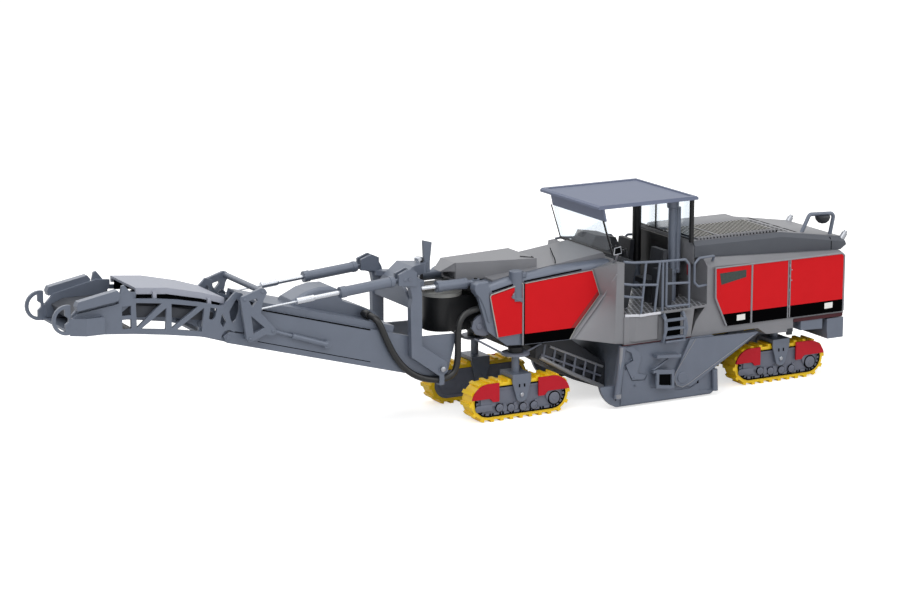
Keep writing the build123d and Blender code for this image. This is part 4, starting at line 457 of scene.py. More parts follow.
def hoodHeight(spec, station):
    fall = (spec["backTop"] - spec["tailTop"]) / (spec["back"] - spec["tail"])
    return spec["top"] if station > spec["back"] else spec["backTop"] - fall * (spec["back"] - station)


# Each slot is a thin patch of painted shade in an opening of the hood's top
def hoodSlot(spec, start, length, near, far):  # a thin dark patch that follows the hood's top
    end = start - length
    low, high = -0.4, 0.19  # its underside and its face, from the hood's top
    return outlinePlate([(start, hoodHeight(spec, start) + low), (start, hoodHeight(spec, start) + high),
                         (end, hoodHeight(spec, end) + high), (end, hoodHeight(spec, end) + low)], near, far)


def makeHood(spec):
    edge, high = spec["front"] + 0.1, spec["proud"]
    skin = [(edge, spec["top"] - 0.3), (edge, spec["top"] + high), (spec["back"], spec["backTop"] + high),
            (spec["tail"], spec["tailTop"] + high), (spec["tail"], spec["tailTop"] - 0.4),
            (spec["back"], spec["backTop"] - 0.3)]
    top = outlinePlate(skin, -spec["half"], spec["half"], rounding=0.08)
    face = outlinePlate(spec["face"], spec["front"] - 0.2, spec["front"] + 0.14, "x", 0.06)
    cover = outlinePlate(spec["cover"], -18.2, -4.6, rounding=0.15)
    finishPiece(joinPieces([top, face, cover]), "hoodTopSkin", warmLacquer, "chassis")
    # Painted shade: the bed under the louvre slats and the slots in the hood's top are black
    dark = [outlinePlate(spec["bed"], -4.4, 18.3)]
    for station in spec["slotRows"]:
        slot = hoodSlot(spec, station, 0.8, spec["slotSide"], spec["slotSide"] + spec["slotWide"])
        dark.append(spreadCopies(slot, [(0, spec["slotPitch"] * k, 0) for k in range(spec["slotCount"])]))
    dark += [hoodSlot(spec, -127.6, 1.1, near, far) for near, far in spec["longSlots"]]
    dark.append(hoodSlot(spec, -119.2, 1.3, -16.6, -12.6))
    finishPiece(joinPieces(dark), "hoodSlots", mattBlackAndShade, "chassis")
    ridge = roundBar(spec["ridge"], 0.3, True)
    louvrePlaces = [(-spec["louvrePitch"] * k, 0, 0) for k in range(spec["louvreCount"])]
    ends = spreadCopies(outlinePlate(spec["louvreEnd"], 60.9, 61.8, "z"), louvrePlaces)
    finishPiece(joinPieces([ridge, ends]), "louvreEnds", warmLacquer, "chassis")
    # Painted highlight: the louvre slats' tops are paler than their ends
    tops = spreadCopies(outlinePlate(spec["louvreTop"], 61.78, 61.84, "z"), louvrePlaces)
    finishPiece(tops, "louvreTops", paleHighlight, "chassis")
    finishPiece(roundBar(spec["seam"], 0.16), "hoodSeams", mattBlackAndShade, "chassis", True)
    x, y, z = spec["lamp"]
    lamp = turnedPiece([(0, 0.5), (0.4, 1.7), (1.4, 2.7), (2.6, 3.1), (3.3, 3.0)], (x, y, z), (0, 0.1, 1), 24)
    bracket = roundBar([(x, y, z + 3.2), (x, y, z + 4.2)], 0.6)
    finishPiece(joinPieces([lamp, bracket]), "workLamp", charcoalAbs, "chassis")
    sleeve = turnedPiece([(0, 1.25), (3.2, 1.25), (3.25, 0.95)], spec["exhaust"], spec["exhaustWay"], 24)
    finishPiece(sleeve, "exhaustSleeves", silverPaint, "chassis", True)


makeHood(hoodSpec)
print("hood made")

# Rims with a painted highlight, seams and gaps of painted shade, hinges of the red panels, blank plates, vent
panelSpec = {
    "frontFace": 18.0, "rearFace": 26.0, "rearTop": 50.9, "rearLow": 27.4,
    "noseRim": [(8.8, 32.0), (12.2, 48.2), (11.6, 49.0), (-2.0, 51.95)],
    "middleRim": [(-3.0, 51.85), (-32.6, 53.95), (-36.0, 44.0), (-25.4, 31.9), (-22.8, 27.9)],
    "divider": [(-2.05, 28.0), (-2.05, 51.9)],
    "dividerGap": [(-2.7, 28.0), (-2.7, 51.8)],
    "topGaps": ([(11.0, 50.0), (-2.0, 52.6)], [(-3.0, 52.5), (-28.0, 54.5)]), "topGapSide": 17.35,
    "rearRim": [(-89.3, 27.4), (-84.0, 39.0), (-83.8, 50.9), (-144.2, 50.9), (-145.3, 49.9), (-145.3, 27.4)],
    "rearDividers": ((-101.0, 0.4), (-118.35, 0.26), (-119.25, 0.26)),
    "ridge": [(-24.4, 18.5, 28.4), (-36.9, 20.0, 44.3), (-38.6, 26.0, 53.2)],
    "chamfer": [(-35.7, 44.0), (-35.1, 45.5), (-23.3, 32.3), (-25.3, 32.3)],
    "toe": [(-83.9, 50.6), (-84.1, 39.0), (-87.2, 32.1), (-88.4, 32.1)],
    "hinges": (-118.8, (48.5, 44.2, 38.5, 32.0)), "latches": (-119.9, (46.6, 42.4)),
    "vent": [(-85.8, 48.6), (-98.2, 48.9), (-98.2, 46.0), (-86.6, 44.0)],
    "plate": [(-94.2, 31.1), (-98.1, 31.2), (-98.1, 28.9), (-94.2, 28.8)],
    "plateMoves": ((0, 0, 0), (-42.0, 0, 0.2)),
}


def makePanels(spec):
    front, rear = spec["frontFace"], spec["rearFace"]
    # Painted highlight: light lines along the red panels' edges, the divider and the flank's ridge
    rims = [faceBar(spec["noseRim"], front, 0.24), faceBar(spec["middleRim"], front, 0.16)]
    finishPiece(joinPieces(rims), "frontPanelRims", paleHighlight, "chassis", True)
    rims = [faceBar(spec["rearRim"], rear, 0.4)]
    rims += [faceBar([(x, spec["rearLow"]), (x, spec["rearTop"])], rear, radius)
             for x, radius in spec["rearDividers"]]
    finishPiece(joinPieces(rims), "rearPanelRims", rimGreyAndHighlight, "chassis", True)
    ridges = [roundBar(spec["ridge"], 0.34), faceBar(spec["divider"], front, 0.34)]
    finishPiece(joinPieces(ridges), "flankRidges", rimGreyAndHighlight, "chassis", True)
    # Painted shade: black bars in the gaps above the red panels and beside the divider
    gaps = [faceBar(gap, spec["topGapSide"], 0.3) for gap in spec["topGaps"]]
    gaps.append(faceBar(spec["dividerGap"], front, 0.2))
    finishPiece(joinPieces(gaps), "panelGaps", mattBlackAndShade, "chassis", True)
    # Painted shade: the chamfer is a flat plate in deep red, darker than the panel
    chamfer = outlinePlate(spec["chamfer"], front - 0.1, front + 0.12)
    finishPiece(chamfer, "redChamferShade", deepRedAndRedShade, "chassis", True)
    toe = outlinePlate(spec["toe"], rear - 0.9, rear + 0.03)
    finishPiece(toe, "redPanelToe", redPrint, "chassis", True)
    x, heights = spec["hinges"]
    hinge = turnedPiece([(-0.5, 0.2), (0.5, 0.2)], (x, rear + 0.28, heights[0]), (0, 0, 1), 8)
    hinges = spreadCopies(hinge, [(0, 0, z) for z in heights])
    x, heights = spec["latches"]
    latch = boltHead((x, rear, heights[0]), (0, 1, 0), 0.26, 0.25)
    latches = spreadCopies(latch, [(0, 0, z) for z in heights])
    finishPiece(joinPieces([hinges, latches]), "panelHinges", silverPaint, "chassis", True)
    vent = outlinePlate(spec["vent"], rear - 0.1, rear + 0.1)
    finishPiece(vent, "panelVent", ventGreen, "chassis", True)
    plates = spreadCopies(outlinePlate(spec["plate"], rear - 0.1, rear + 0.08), spec["plateMoves"])
    finishPiece(plates, "blankPlates", whiteLabel, "chassis", True)


makePanels(panelSpec)
print("panels made")

# Front body: leg caps with painted shade in their holes, nose rounding, king bolt, pins, seams in the deck
noseSpec = {
    "gauge": 16.0, "capRadius": 2.65, "capFoot": 50.4, "capTop": 56.7,
    "lobe": [(0.0, 13.6), (0.0, 17.4), (-3.6, 17.4), (-4.2, 16.8), (-4.2, 14.4), (-3.6, 13.6)],
    "foot": [(1.6, 49.4), (3.1, 47.2), (2.8, 46.7), (-1.7, 44.6), (-1.7, 46.6), (1.6, 46.6)],
    "hole": (-2.7, 15.6, 55.9), "footPin": (2.2, 18.2, 48.2), "cheekPin": (14.1, 10.0, 50.7),
    "straightSeam": [(-7.5, 6.0, 59.7), (-11.4, 9.6, 59.45), (-11.7, 7.4, 59.45)],
    "curvedSeam": [(-18.7, 13.5, 57.2), (-19.4, 12.5, 58.3), (-23.0, 4.0, 58.7), (-27.6, -5.4, 58.8)],
    "shoulder": [(17.0, 54.0), (18.3, 53.3), (18.7, 51.6), (18.0, 49.8), (16.4, 48.0), (14.4, 44.0),
                 (12.6, 38.0), (11.6, 38.0), (12.2, 48.0), (12.6, 54.2)],
    "bracket": [(18.4, 36.0), (17.8, 38.8), (15.5, 40.6), (12.0, 41.4), (10.6, 41.0), (10.6, 33.0),
                (13.0, 32.4), (16.6, 33.4)],
    "bracketBolt": (15.2, 15.0, 36.6), "kingBolt": (33.2, 0, 50.0),
}


def makeNose(spec):
    reach, radius = spec["capTop"] - spec["capFoot"], spec["capRadius"]
    cap = turnedPiece([(0, radius), (reach - 0.25, radius), (reach, radius - 0.25)],
                      (0, spec["gauge"], spec["capFoot"]), (0, 0, 1), 32)
    lobe = outlinePlate(spec["lobe"], 54.0, 55.9, "z", 0.25)
    foot = outlinePlate(spec["foot"], 17.9, 18.6, rounding=0.12)
    finishPiece(joinPieces([cap, lobe, foot]), "legCaps", slateLacquer, "chassis", True)
    # Painted shade: black discs for the holes in the leg caps
    holes = turnedPiece([(-0.2, 0.75), (0.06, 0.75)], spec["hole"], (0, 0, 1), 16)
    finishPiece(holes, "capHoles", mattBlackAndShade, "chassis", True)
    pins = [turnedPiece([(-0.3, 0.35), (0.35, 0.35)], spec["footPin"], (0, 1, 0), 10),
            turnedPiece([(0, 0.42), (3.2, 0.42), (3.2, 0.6), (3.5, 0.6)], spec["cheekPin"], (0, 0, -1), 12)]
    finishPiece(joinPieces(pins), "silverPins", silverPaint, "chassis", True)
    lines = [roundBar(spec["straightSeam"], 0.16), roundBar(spec["curvedSeam"], 0.18, True)]
    finishPiece(joinPieces(lines), "deckSeams", mattBlackAndShade, "chassis")
    shoulder = outlinePlate(spec["shoulder"], 13.6, 17.8, rounding=1.1)
    finishPiece(shoulder, "noseShoulders", slateLacquer, "chassis", True)
    bracket = outlinePlate(spec["bracket"], 13.4, 15.0, rounding=0.4)
    head = turnedPiece([(-0.5, 1.3), (0.3, 1.3), (0.55, 1.0)], spec["bracketBolt"], (0, 1, 0), 20)
    finishPiece(joinPieces([bracket, head]), "noseBrackets", slateAbs, "chassis", True)
    bolt = turnedPiece([(0, 0.95), (11.2, 0.95), (11.2, 1.6), (12.2, 1.6), (12.4, 1.3)],
                       spec["kingBolt"], (0, 0, 1), 20)
    finishPiece(bolt, "kingBolt", platedChrome, "slew_frame")


makeNose(noseSpec)
print("nose made")

# Canopy: windscreen struts and bars, divider in the rear glass, post caps, mirror, roof seams, painted shade
# on the back wall
canopySpec = {
    "bars": (  # both ends and the radius
        ((-40.6, 19.5, 59.4), (-36.3, 19.5, 72.9), 0.38),
        ((-40.6, -19.5, 59.4), (-36.3, -19.5, 72.9), 0.25),
        ((-40.7, -19.4, 59.3), (-40.7, 19.4, 59.3), 0.6),
        ((-76.4, -6.0, 61.9), (-76.4, -6.0, 77.4), 0.35),
        ((-76.4, -19.6, 61.9), (-76.4, 19.6, 61.9), 0.45),
        ((-76.2, 20.0, 60.9), (-76.2, 20.0, 77.8), 0.97),
        ((-76.2, -20.0, 60.9), (-76.2, -20.0, 77.8), 0.97)),
    "farPost": [(-72.0, -13.0, 48.0), (-72.0, -13.0, 77.8)], "farPostRadius": 1.78,
    "nearPost": (-72.0, 13.0, 48.0), "nearCapRise": 25.6, "nearPipe": (-74.2, 13.4, 48.0),
    "studs": (-16.0, -11.0, -6.0, -1.0, 4.0, 9.0, 12.0, 15.0, 17.6),
    "mirrorSide": 23.6,
    "mirrorLoop": [(-38.7, 60.2), (-39.0, 62.8), (-41.6, 63.2), (-42.0, 60.6), (-38.7, 60.2)],
    "mirrorStem": [(-40.4, 23.6, 60.3), (-40.6, 22.0, 57.6), (-40.6, 20.0, 56.6)],
    "mirrorBack": [(-38.8, 60.4), (-39.1, 62.7), (-41.5, 63.0), (-41.9, 60.8)],
    "seamFront": -34.0, "seamRear": -76.6, "seamSide": 21.0, "seamRise": 79.22,
    "backWall": [(-17.5, 37.1), (9.6, 37.1), (9.6, 60.2), (-17.5, 60.2)],
    "extinguisher": [(-74.6, 52.6), (-75.8, 52.6), (-75.8, 48.0), (-74.6, 48.0)],
}


def makeCanopy(spec):
    bars = [roundBar((start, end), radius) for start, end, radius in spec["bars"]]
    bars.append(roundBar(spec["farPost"], spec["farPostRadius"], fine=4))
    finishPiece(joinPieces(bars), "windowBars", blackAbsAndShade, "chassis")
    stud = boltHead((-41.4, spec["studs"][0], 58.9), (0.3, 0, 1), 0.4, 0.5)
    finishPiece(spreadCopies(stud, [(0, y, 0) for y in spec["studs"]]), "screenStuds", silverPaint, "chassis")
    x, y, z = spec["nearPost"]
    caps = [turnedPiece([(0, 1.75), (0.3, 2.3), (3.2, 2.45), (3.4, 2.2)], (x, y, z + spec["nearCapRise"]),
                        (0, 0, 1), 24),
            turnedPiece([(0, 2.2), (1.2, 2.2), (1.6, 1.8)], (x, y, z), (0, 0, 1), 24),
            turnedPiece([(0, 1.15), (26.0, 1.15)], spec["nearPipe"], (0, 0, 1), 16)]
    finishPiece(joinPieces(caps), "postCaps", slateLacquer, "chassis")
    side = spec["mirrorSide"]
    mirror = [faceBar(spec["mirrorLoop"], side, 0.25), roundBar(spec["mirrorStem"], 0.4)]
    finishPiece(joinPieces(mirror), "mirrorLoop", silverPaint, "chassis")
    back = outlinePlate(spec["mirrorBack"], side - 0.2, side + 0.15)
    finishPiece(back, "mirrorBack", mattBlackAndShade, "chassis")
    front, rear, side, z = spec["seamFront"], spec["seamRear"], spec["seamSide"], spec["seamRise"]
    seams = [roundBar([(front, y, z), (rear, y, z)], 0.16) for y in (side, -side)]
    seams += [roundBar([(x, -side, z), (x, side, z)], 0.16) for x in (front, rear)]
    finishPiece(joinPieces(seams), "roofSeams", mattBlackAndShade, "chassis")
    # Painted shade: a black plate on the cab's back wall, behind the seat
    wall = outlinePlate(spec["backWall"], -77.3, -75.4, "x")
    finishPiece(wall, "cabBackWallShade", blackAbsAndShade, "chassis")
    item = outlinePlate(spec["extinguisher"], 19.4, 20.4, rounding=0.2)
    finishPiece(item, "extinguisher", deepRedAndRedShade, "chassis")


makeCanopy(canopySpec)
print("canopy made")

# What stands on the consoles: levers with knobs, a wheel and two screens
deskSpec = {
    "levers": ((-51.0, 7.0), (-51.0, 13.0), (-49.6, 6.0), (-49.6, 14.0)), "leverFoot": 56.6,
    "columnFoot": (-49.0, 10.0, 56.0), "wheel": (-50.4, 10.0, 59.5), "wheelRadius": 2.3, "wheelTilt": -22,
    "farScreen": [(-45.6, -15.0), (-46.9, -15.0), (-46.9, -11.0), (-45.6, -11.0)],
    "nearScreen": [(-53.0, 6.0), (-54.2, 6.0), (-54.2, 9.0), (-53.0, 9.0)],
}


def makeDesk(spec):
    x, y = spec["levers"][0]
    z = spec["leverFoot"]
    stick = roundBar([(x, y, z), (x + 0.5, y, z + 2.0)], 0.2)
    knob = turnedPiece([(0, 0.2), (0.3, 0.5), (0.8, 0.5), (1.0, 0.25)], (x + 0.5, y, z + 1.8),
                       (0.2, 0, 1), 12)
    levers = spreadCopies(joinPieces([stick, knob]), [(x, y, 0) for x, y in spec["levers"]])
    column = turnedPiece([(0, 0.3), (3.6, 0.3)], spec["columnFoot"], (-0.4, 0, 1), 12)
    x, y, z = spec["wheel"]
    bpy.ops.object.select_all(action="DESELECT")
    bpy.ops.mesh.primitive_torus_add(major_radius=spec["wheelRadius"] * mm, minor_radius=0.28 * mm,
                                     major_segments=28, minor_segments=8, location=at(x, y, z),
                                     rotation=(0, math.radians(spec["wheelTilt"]), 0))
    rim = bpy.context.object
    bpy.ops.object.transform_apply()
    spoke = roundBar([(x, y - 2.2, z), (x, y + 2.2, z)], 0.2)
    controls = joinPieces([levers, column, rim, spoke])
    finishPiece(controls, "leversAndWheel", blackAbsAndShade, "chassis")
    screens = [outlinePlate(spec["farScreen"], 60.2, 62.5, "z", 0.15),
               outlinePlate(spec["nearScreen"], 55.4, 57.8, "z", 0.15)]
    finishPiece(joinPieces(screens), "deskScreens", charcoalAbs, "chassis")


makeDesk(deskSpec)
print("desk made")

# Tracks: roller caps, and painted shade in dark marks on the belt's rim, in rings round the rollers and hubs,
# along the belt's edge and in the fork slots, on each of the four units
trackSpec = {
    "units": (("front_left", 0, 1), ("front_right", 0, -1), ("rear_left", -119.2, 1),
              ("rear_right", -119.2, -1)),
    "face": 20.1, "rollers": ((9.2, 5.3), (4.2, 4.7), (-1.1, 4.5), (-5.9, 4.5)), "rollerMark": 1.66,
    "hub": (-14.8, 6.3), "hubMark": 2.75,
    "guide": [(19.2, 4.5), (19.8, 5.9), (19.2, 7.1), (12.6, 7.1), (12.4, 4.5)],
    "linkMark": [(-14.6, 2.5), (-14.0, 2.5), (-14.1, 3.5), (-14.7, 3.5)], "linkPitch": 4.4, "links": 7,
    "markPair": (0, 1.2),
    "endReach": 14.1, "endRise": 7.9, "endMarkRadius": 4.9, "loopRadius": 5.5,
    "endMark": ((-0.5, -0.3), (0.5, -0.3), (0.5, 0.3), (-0.5, 0.3)),
    "frontTurns": (-72, -52, -30, -12, 8), "rearTurns": (192, 210, 232, 252, 172),
    "forkSlot": [(-1.3, 12.6), (-0.9, 12.6), (-0.9, 13.8), (-1.3, 13.8)],
    "forkSlotMoves": ((0, 0, 0), (2.2, 0, 0)), "forkPin": (21.2, 9.6),
}


def roundEnd(spec, station, turn, radius):  # the point at that angle round a track's front or rear end
    angle = math.radians(turn)
    return (station + radius * math.cos(angle), spec["endRise"] + radius * math.sin(angle))


def endMark(spec, station, turn, near, far):  # a dark slot across the belt's rim where it runs round an end
    x, z = roundEnd(spec, station, turn, spec["endMarkRadius"])
    c, s = math.cos(math.radians(turn)), math.sin(math.radians(turn))
    return outlinePlate([(x + a * c - b * s, z + a * s + b * c) for a, b in spec["endMark"]], near, far)


def makeTrack(corner, station, hand, spec):
    y = spec["face"] * hand
    body = "track_" + corner
    out = (0, hand, 0)
    markDepth = (y - 0.5 * hand, y + 0.05 * hand)
    rollerPlaces = [(station + x, y, z) for x, z in spec["rollers"]]
    hubPlace = (station + spec["hub"][0], y, spec["hub"][1])
    roller = turnedPiece([(-0.4, 1.5), (0.15, 1.5), (0.35, 1.15), (0.35, 0.5), (0.55, 0.35)],
                         rollerPlaces[0], out, 20)
    hub = turnedPiece([(-0.4, 2.3), (0.2, 2.3), (0.4, 2.0), (0.4, 1.1), (0.6, 0.9)], hubPlace, out, 28)
    guide = outlinePlate([(station + x, z) for x, z in spec["guide"]], y - 0.3 * hand, y + 0.3 * hand,
                         rounding=0.2)
    caps = joinPieces([spreadCopies(roller, rollerPlaces), hub, guide])
    finishPiece(caps, "rollerCaps_" + corner, slateAbs, body)
    # Painted shade: black rings round the rollers and hub, slots across the belt's rim, a line between belt
    # and frame, and the fork slots
    ring = turnedPiece([(-0.4, spec["rollerMark"]), (0.06, spec["rollerMark"])], rollerPlaces[0], out, 20)
    marks = [spreadCopies(ring, rollerPlaces),
             turnedPiece([(-0.4, spec["hubMark"]), (0.06, spec["hubMark"])], hubPlace, out, 28)]
    linkMark = outlinePlate([(station + x, z) for x, z in spec["linkMark"]], *markDepth)
    marks.append(spreadCopies(linkMark, [(spec["linkPitch"] * k + step, 0, 0)
                                         for k in range(spec["links"]) for step in spec["markPair"]]))
    front, rear = station + spec["endReach"], station - spec["endReach"]
    marks += [endMark(spec, front, turn, *markDepth) for turn in spec["frontTurns"]]
    marks += [endMark(spec, rear, turn, *markDepth) for turn in spec["rearTurns"]]
    loop = [roundEnd(spec, end, turn, spec["loopRadius"])
            for end, start in ((front, -90), (rear, 90)) for turn in range(start, start + 181, 15)]
    marks.append(faceBar(loop + loop[:1], y - 0.15 * hand, 0.28))
    forkSlot = outlinePlate([(station + x, z) for x, z in spec["forkSlot"]], 21.0 * hand, 21.34 * hand)
    marks.append(spreadCopies(forkSlot, spec["forkSlotMoves"]))
    finishPiece(joinPieces(marks), "trackMarks_" + corner, mattBlackAndShade, body)
    side, height = spec["forkPin"]
    pin = turnedPiece([(-0.4, 0.8), (0.15, 0.8), (0.35, 0.55)], (station, side * hand, height), out, 16)
    finishPiece(pin, "forkPins_" + corner, silverPaint, body)


for corner, station, hand in trackSpec["units"]:
    makeTrack(corner, station, hand, trackSpec)
print("tracks made")

# Side plates, ladders, arms and the loader: bolts, seams, rungs, edges with a painted highlight, beams,
# painted shade behind the ladders, and lamps
sideSpec = {
    "face": 27.2, "bolts": ((-44.6, 19.4), (-46.2, 12.0), (-46.8, 8.6), (-70.4, 8.4), (-74.4, 10.6)),
    "disc": (-68.2, 27.7, 9.4),
    "seams": (  # both ends and the radius
        ((-76.1, 26.6, 9.6), (-76.1, 26.6, 3.2), 0.28),
        ((-62.8, 26.6, 3.0), (-70.6, 26.6, 2.9), 0.2),
        ((-38.2, 27.1, 3.8), (-38.6, 27.1, 11.8), 0.22)),
    "flank": [(-40.6, 27.5, 25.2), (-72.0, 27.5, 25.2)],
    "edge": [(-74.0, 24.2), (-64.9, 11.6), (-64.4, 9.2), (-65.6, 6.6), (-68.2, 5.6), (-71.0, 6.6),
             (-101.0, 22.6)], "edgeSide": 27.75,
    "post": [(-40.0, 28.2, 24.8), (-38.6, 28.2, 6.4)], "postFoot": (-38.5, 28.1, 4.8),
    "rails": (
        [(-58.7, 28.2, 36.0), (-59.1, 29.3, 33.6), (-59.2, 29.45, 29.8), (-58.3, 29.45, 27.2),
         (-58.7, 28.4, 24.8)],
        [(-67.5, 28.2, 36.0), (-68.1, 29.3, 33.0), (-68.7, 29.45, 29.8), (-67.9, 29.45, 27.0),
         (-67.6, 28.4, 24.8)]),
    "rungs": (24.9, 26.7, 30.1, 33.5), "rungEnds": (-58.9, -67.9), "rungSide": 29.3,
    "ladderBack": [(-59.6, 25.4), (-66.8, 25.4), (-66.8, 35.6), (-59.6, 35.6)],
    "lowerBack": [(-56.3, 12.6), (-62.0, 12.0), (-62.0, 7.4), (-56.2, 8.2)],
    "lowBeam": [(-13.0, 20.6), (-27.5, 12.4), (-41.3, 5.6)], "highBeam": [(-17.4, 24.4), (-41.4, 13.6)],
    "middleBeam": [(-13.6, 21.6), (-40.6, 10.0)], "beamSide": 12.3,
    "lattice": 6, "latticeFrom": -15.4, "latticePitch": 4.6, "latticeSide": 12.0,
    "crossBars": ((-14.4, 19.4), (-20.4, 15.6), (-26.4, 12.4), (-32.4, 9.6)), "crossHalf": 11.4,
    "rearBeam": [(-121.8, 25.0), (-121.8, 26.4), (-145.6, 26.4), (-145.6, 25.0)],
    "box": [(-119.0, 20.0), (-121.4, 20.0), (-121.4, 22.6), (-119.0, 22.6)],
    "lamp": [(18.4, 19.2), (22.4, 19.2), (22.4, 21.6), (18.4, 21.6)],
}


def makeSides(spec):
    x, z = spec["bolts"][0]
    bolt = boltHead((x, spec["face"], z), (0, 1, 0), 0.32, 0.45)
    bolts = [spreadCopies(bolt, [(x, 0, z) for x, z in spec["bolts"]]),
             turnedPiece([(-0.3, 2.3), (0.2, 2.3), (0.35, 2.1)], spec["disc"], (0, 1, 0), 28)]
    finishPiece(joinPieces(bolts), "sideBolts", slateLacquer, "chassis", True)
    seams = [roundBar((start, end), radius) for start, end, radius in spec["seams"]]
    finishPiece(joinPieces(seams), "sideSeams", mattBlackAndShade, "chassis", True)
    finishPiece(roundBar(spec["flank"], 0.2), "flankLine", plumLacquer, "chassis", True)
    # Painted highlight along the side plate's edge; the guide post and its foot keep their own pale grey
    edges = [faceBar(spec["edge"], spec["edgeSide"], 0.16), roundBar(spec["post"], 0.85, fine=3),
             turnedPiece([(0, 1.0), (0.2, 1.3), (1.6, 1.3), (1.8, 1.0)], spec["postFoot"], (0, 0, 1), 20)]
    finishPiece(joinPieces(edges), "sideEdges", rimGreyAndHighlight, "chassis", True)
    rails = [roundBar(rail, 0.64, fine=3) for rail in spec["rails"]]
    rung = faceBar([(x, spec["rungs"][0]) for x in spec["rungEnds"]], spec["rungSide"], 0.55, fine=3)
    rails.append(spreadCopies(rung, [(0, 0, z) for z in spec["rungs"]]))
    finishPiece(joinPieces(rails), "ladderRails", slateLacquer, "chassis", True)
    # Painted shade: black plates behind the ladders
    backs = [outlinePlate(spec["ladderBack"], 27.2, 27.62), outlinePlate(spec["lowerBack"], 28.5, 28.78)]
    finishPiece(joinPieces(backs), "ladderBacks", mattBlackAndShade, "chassis", True)
    y = spec["latticeSide"]
    # Painted highlight: the loader's two long beams are light grey
    beams = [faceBar(spec["lowBeam"], spec["beamSide"], 0.85, fine=3),
             faceBar(spec["highBeam"], y, 0.5, fine=3)]
    finishPiece(joinPieces(beams), "loaderBeams", rimGreyAndHighlight, "chassis", True)
    loader = [faceBar(spec["middleBeam"], y, 0.45)]
    for k in range(spec["lattice"]):
        x = spec["latticeFrom"] - spec["latticePitch"] * k
        back = -17.4 - x  # how far behind the upper beam's front end
        loader.append(faceBar([(x, 24.6 - 0.45 * back), (x + 1.2, 18.0 - 0.46 * back)], y, 0.5))
    x, z = spec["crossBars"][0]
    crossBar = roundBar([(x, -spec["crossHalf"], z), (x, spec["crossHalf"], z)], 0.9, fine=3)
    loader.append(spreadCopies(crossBar, [(x, 0, z) for x, z in spec["crossBars"]]))
    finishPiece(joinPieces(loader), "loaderFrame", slateAbs, "chassis", True)
    tail = outlinePlate(spec["rearBeam"], 4.0, 25.5)
    finishPiece(tail, "rearBeamTop", plumLacquer, "chassis", True)
    boxes = outlinePlate(spec["box"], 24.2, 25.4, rounding=0.2)
    finishPiece(boxes, "underBoxes", charcoalAbs, "chassis", True)
    lamps = outlinePlate(spec["lamp"], -146.0, -145.6, "x", 0.12)
    finishPiece(lamps, "rearLamps", crimsonAbs, "chassis", True)


makeSides(sideSpec)
print("sides made")

# Slewing and lifting gear: collars, clevis nuts and bolts, seams in the boom, painted shade in a dark strip
# under the cover
gearSpec = {
    "gauge": 15.4, "liftFoot": (46.1, 58.3), "liftAlong": (0.9966, 0, -0.0826),
    "plateFace": 17.4, "kneeBolts": ((111.0, 43.2), (101.9, 45.1), (105.9, 60.0), (113.0, 57.9)),
    "clevisScrew": (48.0, 58.3), "liftPin": (32.2, 17.8, 22.6),
    "boomFace": 13.9, "upperSeam": [(104.3, 52.4), (60.8, 40.2)], "lowerSeam": [(106.4, 41.0), (60.8, 28.0)],
    "skirt": [(119.0, 57.6), (127.4, 60.3), (140.7, 63.4), (151.6, 64.5), (151.6, 60.4), (140.7, 59.6),
              (127.4, 56.6), (120.6, 54.6)],
    "slewSide": 10.0, "slewRise": 52.6,
}


def alongLift(spec, reach):  # a point on the left lift cylinder's axis
    x, z = spec["liftFoot"]
    return (x + spec["liftAlong"][0] * reach, spec["gauge"], z + spec["liftAlong"][2] * reach)


def makeGear(spec):
    way = spec["liftAlong"]
    front = turnedPiece([(0, 1.95), (0.15, 2.15), (2.6, 2.15), (2.75, 1.2)], alongLift(spec, 25.4), way, 24)
    rear = turnedPiece([(0, 1.95), (0.15, 2.1), (1.4, 2.1), (1.5, 1.95)], alongLift(spec, 6.0), way, 24)
    finishPiece(joinPieces([front, rear]), "liftCollars", slateLacquer, "lift_barrels", True)
    nuts = [turnedPiece([(0, 0.95), (0.15, 1.25), (2.2, 1.25), (2.4, 0.95)], alongLift(spec, 38.4), way, 6),
            turnedPiece([(0, 0.95), (0.1, 1.1), (0.9, 1.1), (1.0, 0.95)], alongLift(spec, 41.6), way, 16)]
    finishPiece(joinPieces(nuts), "liftNuts", platedChrome, "lift_rods", True)
    x, z = spec["kneeBolts"][0]
    bolt = boltHead((x, spec["plateFace"], z), (0, 1, 0), 0.6, 0.35)
    bolts = spreadCopies(bolt, [(x, 0, z) for x, z in spec["kneeBolts"]])
    finishPiece(bolts, "kneeBolts", slateLacquer, "rear_boom", True)
    x, z = spec["clevisScrew"]
    screws = boltHead((x, spec["plateFace"], z), (0, 1, 0), 0.75, 0.3)
    finishPiece(screws, "clevisScrews", slateLacquer, "slew_frame", True)
    pin = turnedPiece([(-0.3, 1.0), (0.3, 1.0), (0.5, 0.7)], spec["liftPin"], (0, 1, 0), 16)
    finishPiece(pin, "liftPins", silverPaint, "slew_frame", True)
    seams = [faceBar(spec["upperSeam"], spec["boomFace"], 0.26),
             faceBar(spec["lowerSeam"], spec["boomFace"], 0.14)]
    finishPiece(joinPieces(seams), "boomSeams", mattBlackAndShade, "rear_boom", True)
    # Painted shade: the cover's skirts are black, for the gap under the cover
    skirt = outlinePlate(spec["skirt"], 10.6, 11.0)
    finishPiece(skirt, "coverSkirts", mattBlackAndShade, "front_boom", True)
    for side, hand in (("left", 1), ("right", -1)):
        y, z = spec["slewSide"] * hand, spec["slewRise"]
        rings = [turnedPiece([(0, 2.0), (0.1, 2.2), (2.4, 2.2), (2.5, 1.2)], (28.6, y, z), (1, 0, 0), 24),
                 turnedPiece([(0, 2.0), (0.1, 2.12), (1.2, 2.12), (1.3, 2.0)], (18.2, y, z), (1, 0, 0), 24)]
        barrel = "slew_barrel_" + side
        finishPiece(joinPieces(rings), "slewCollars_" + side, slateLacquer, barrel)


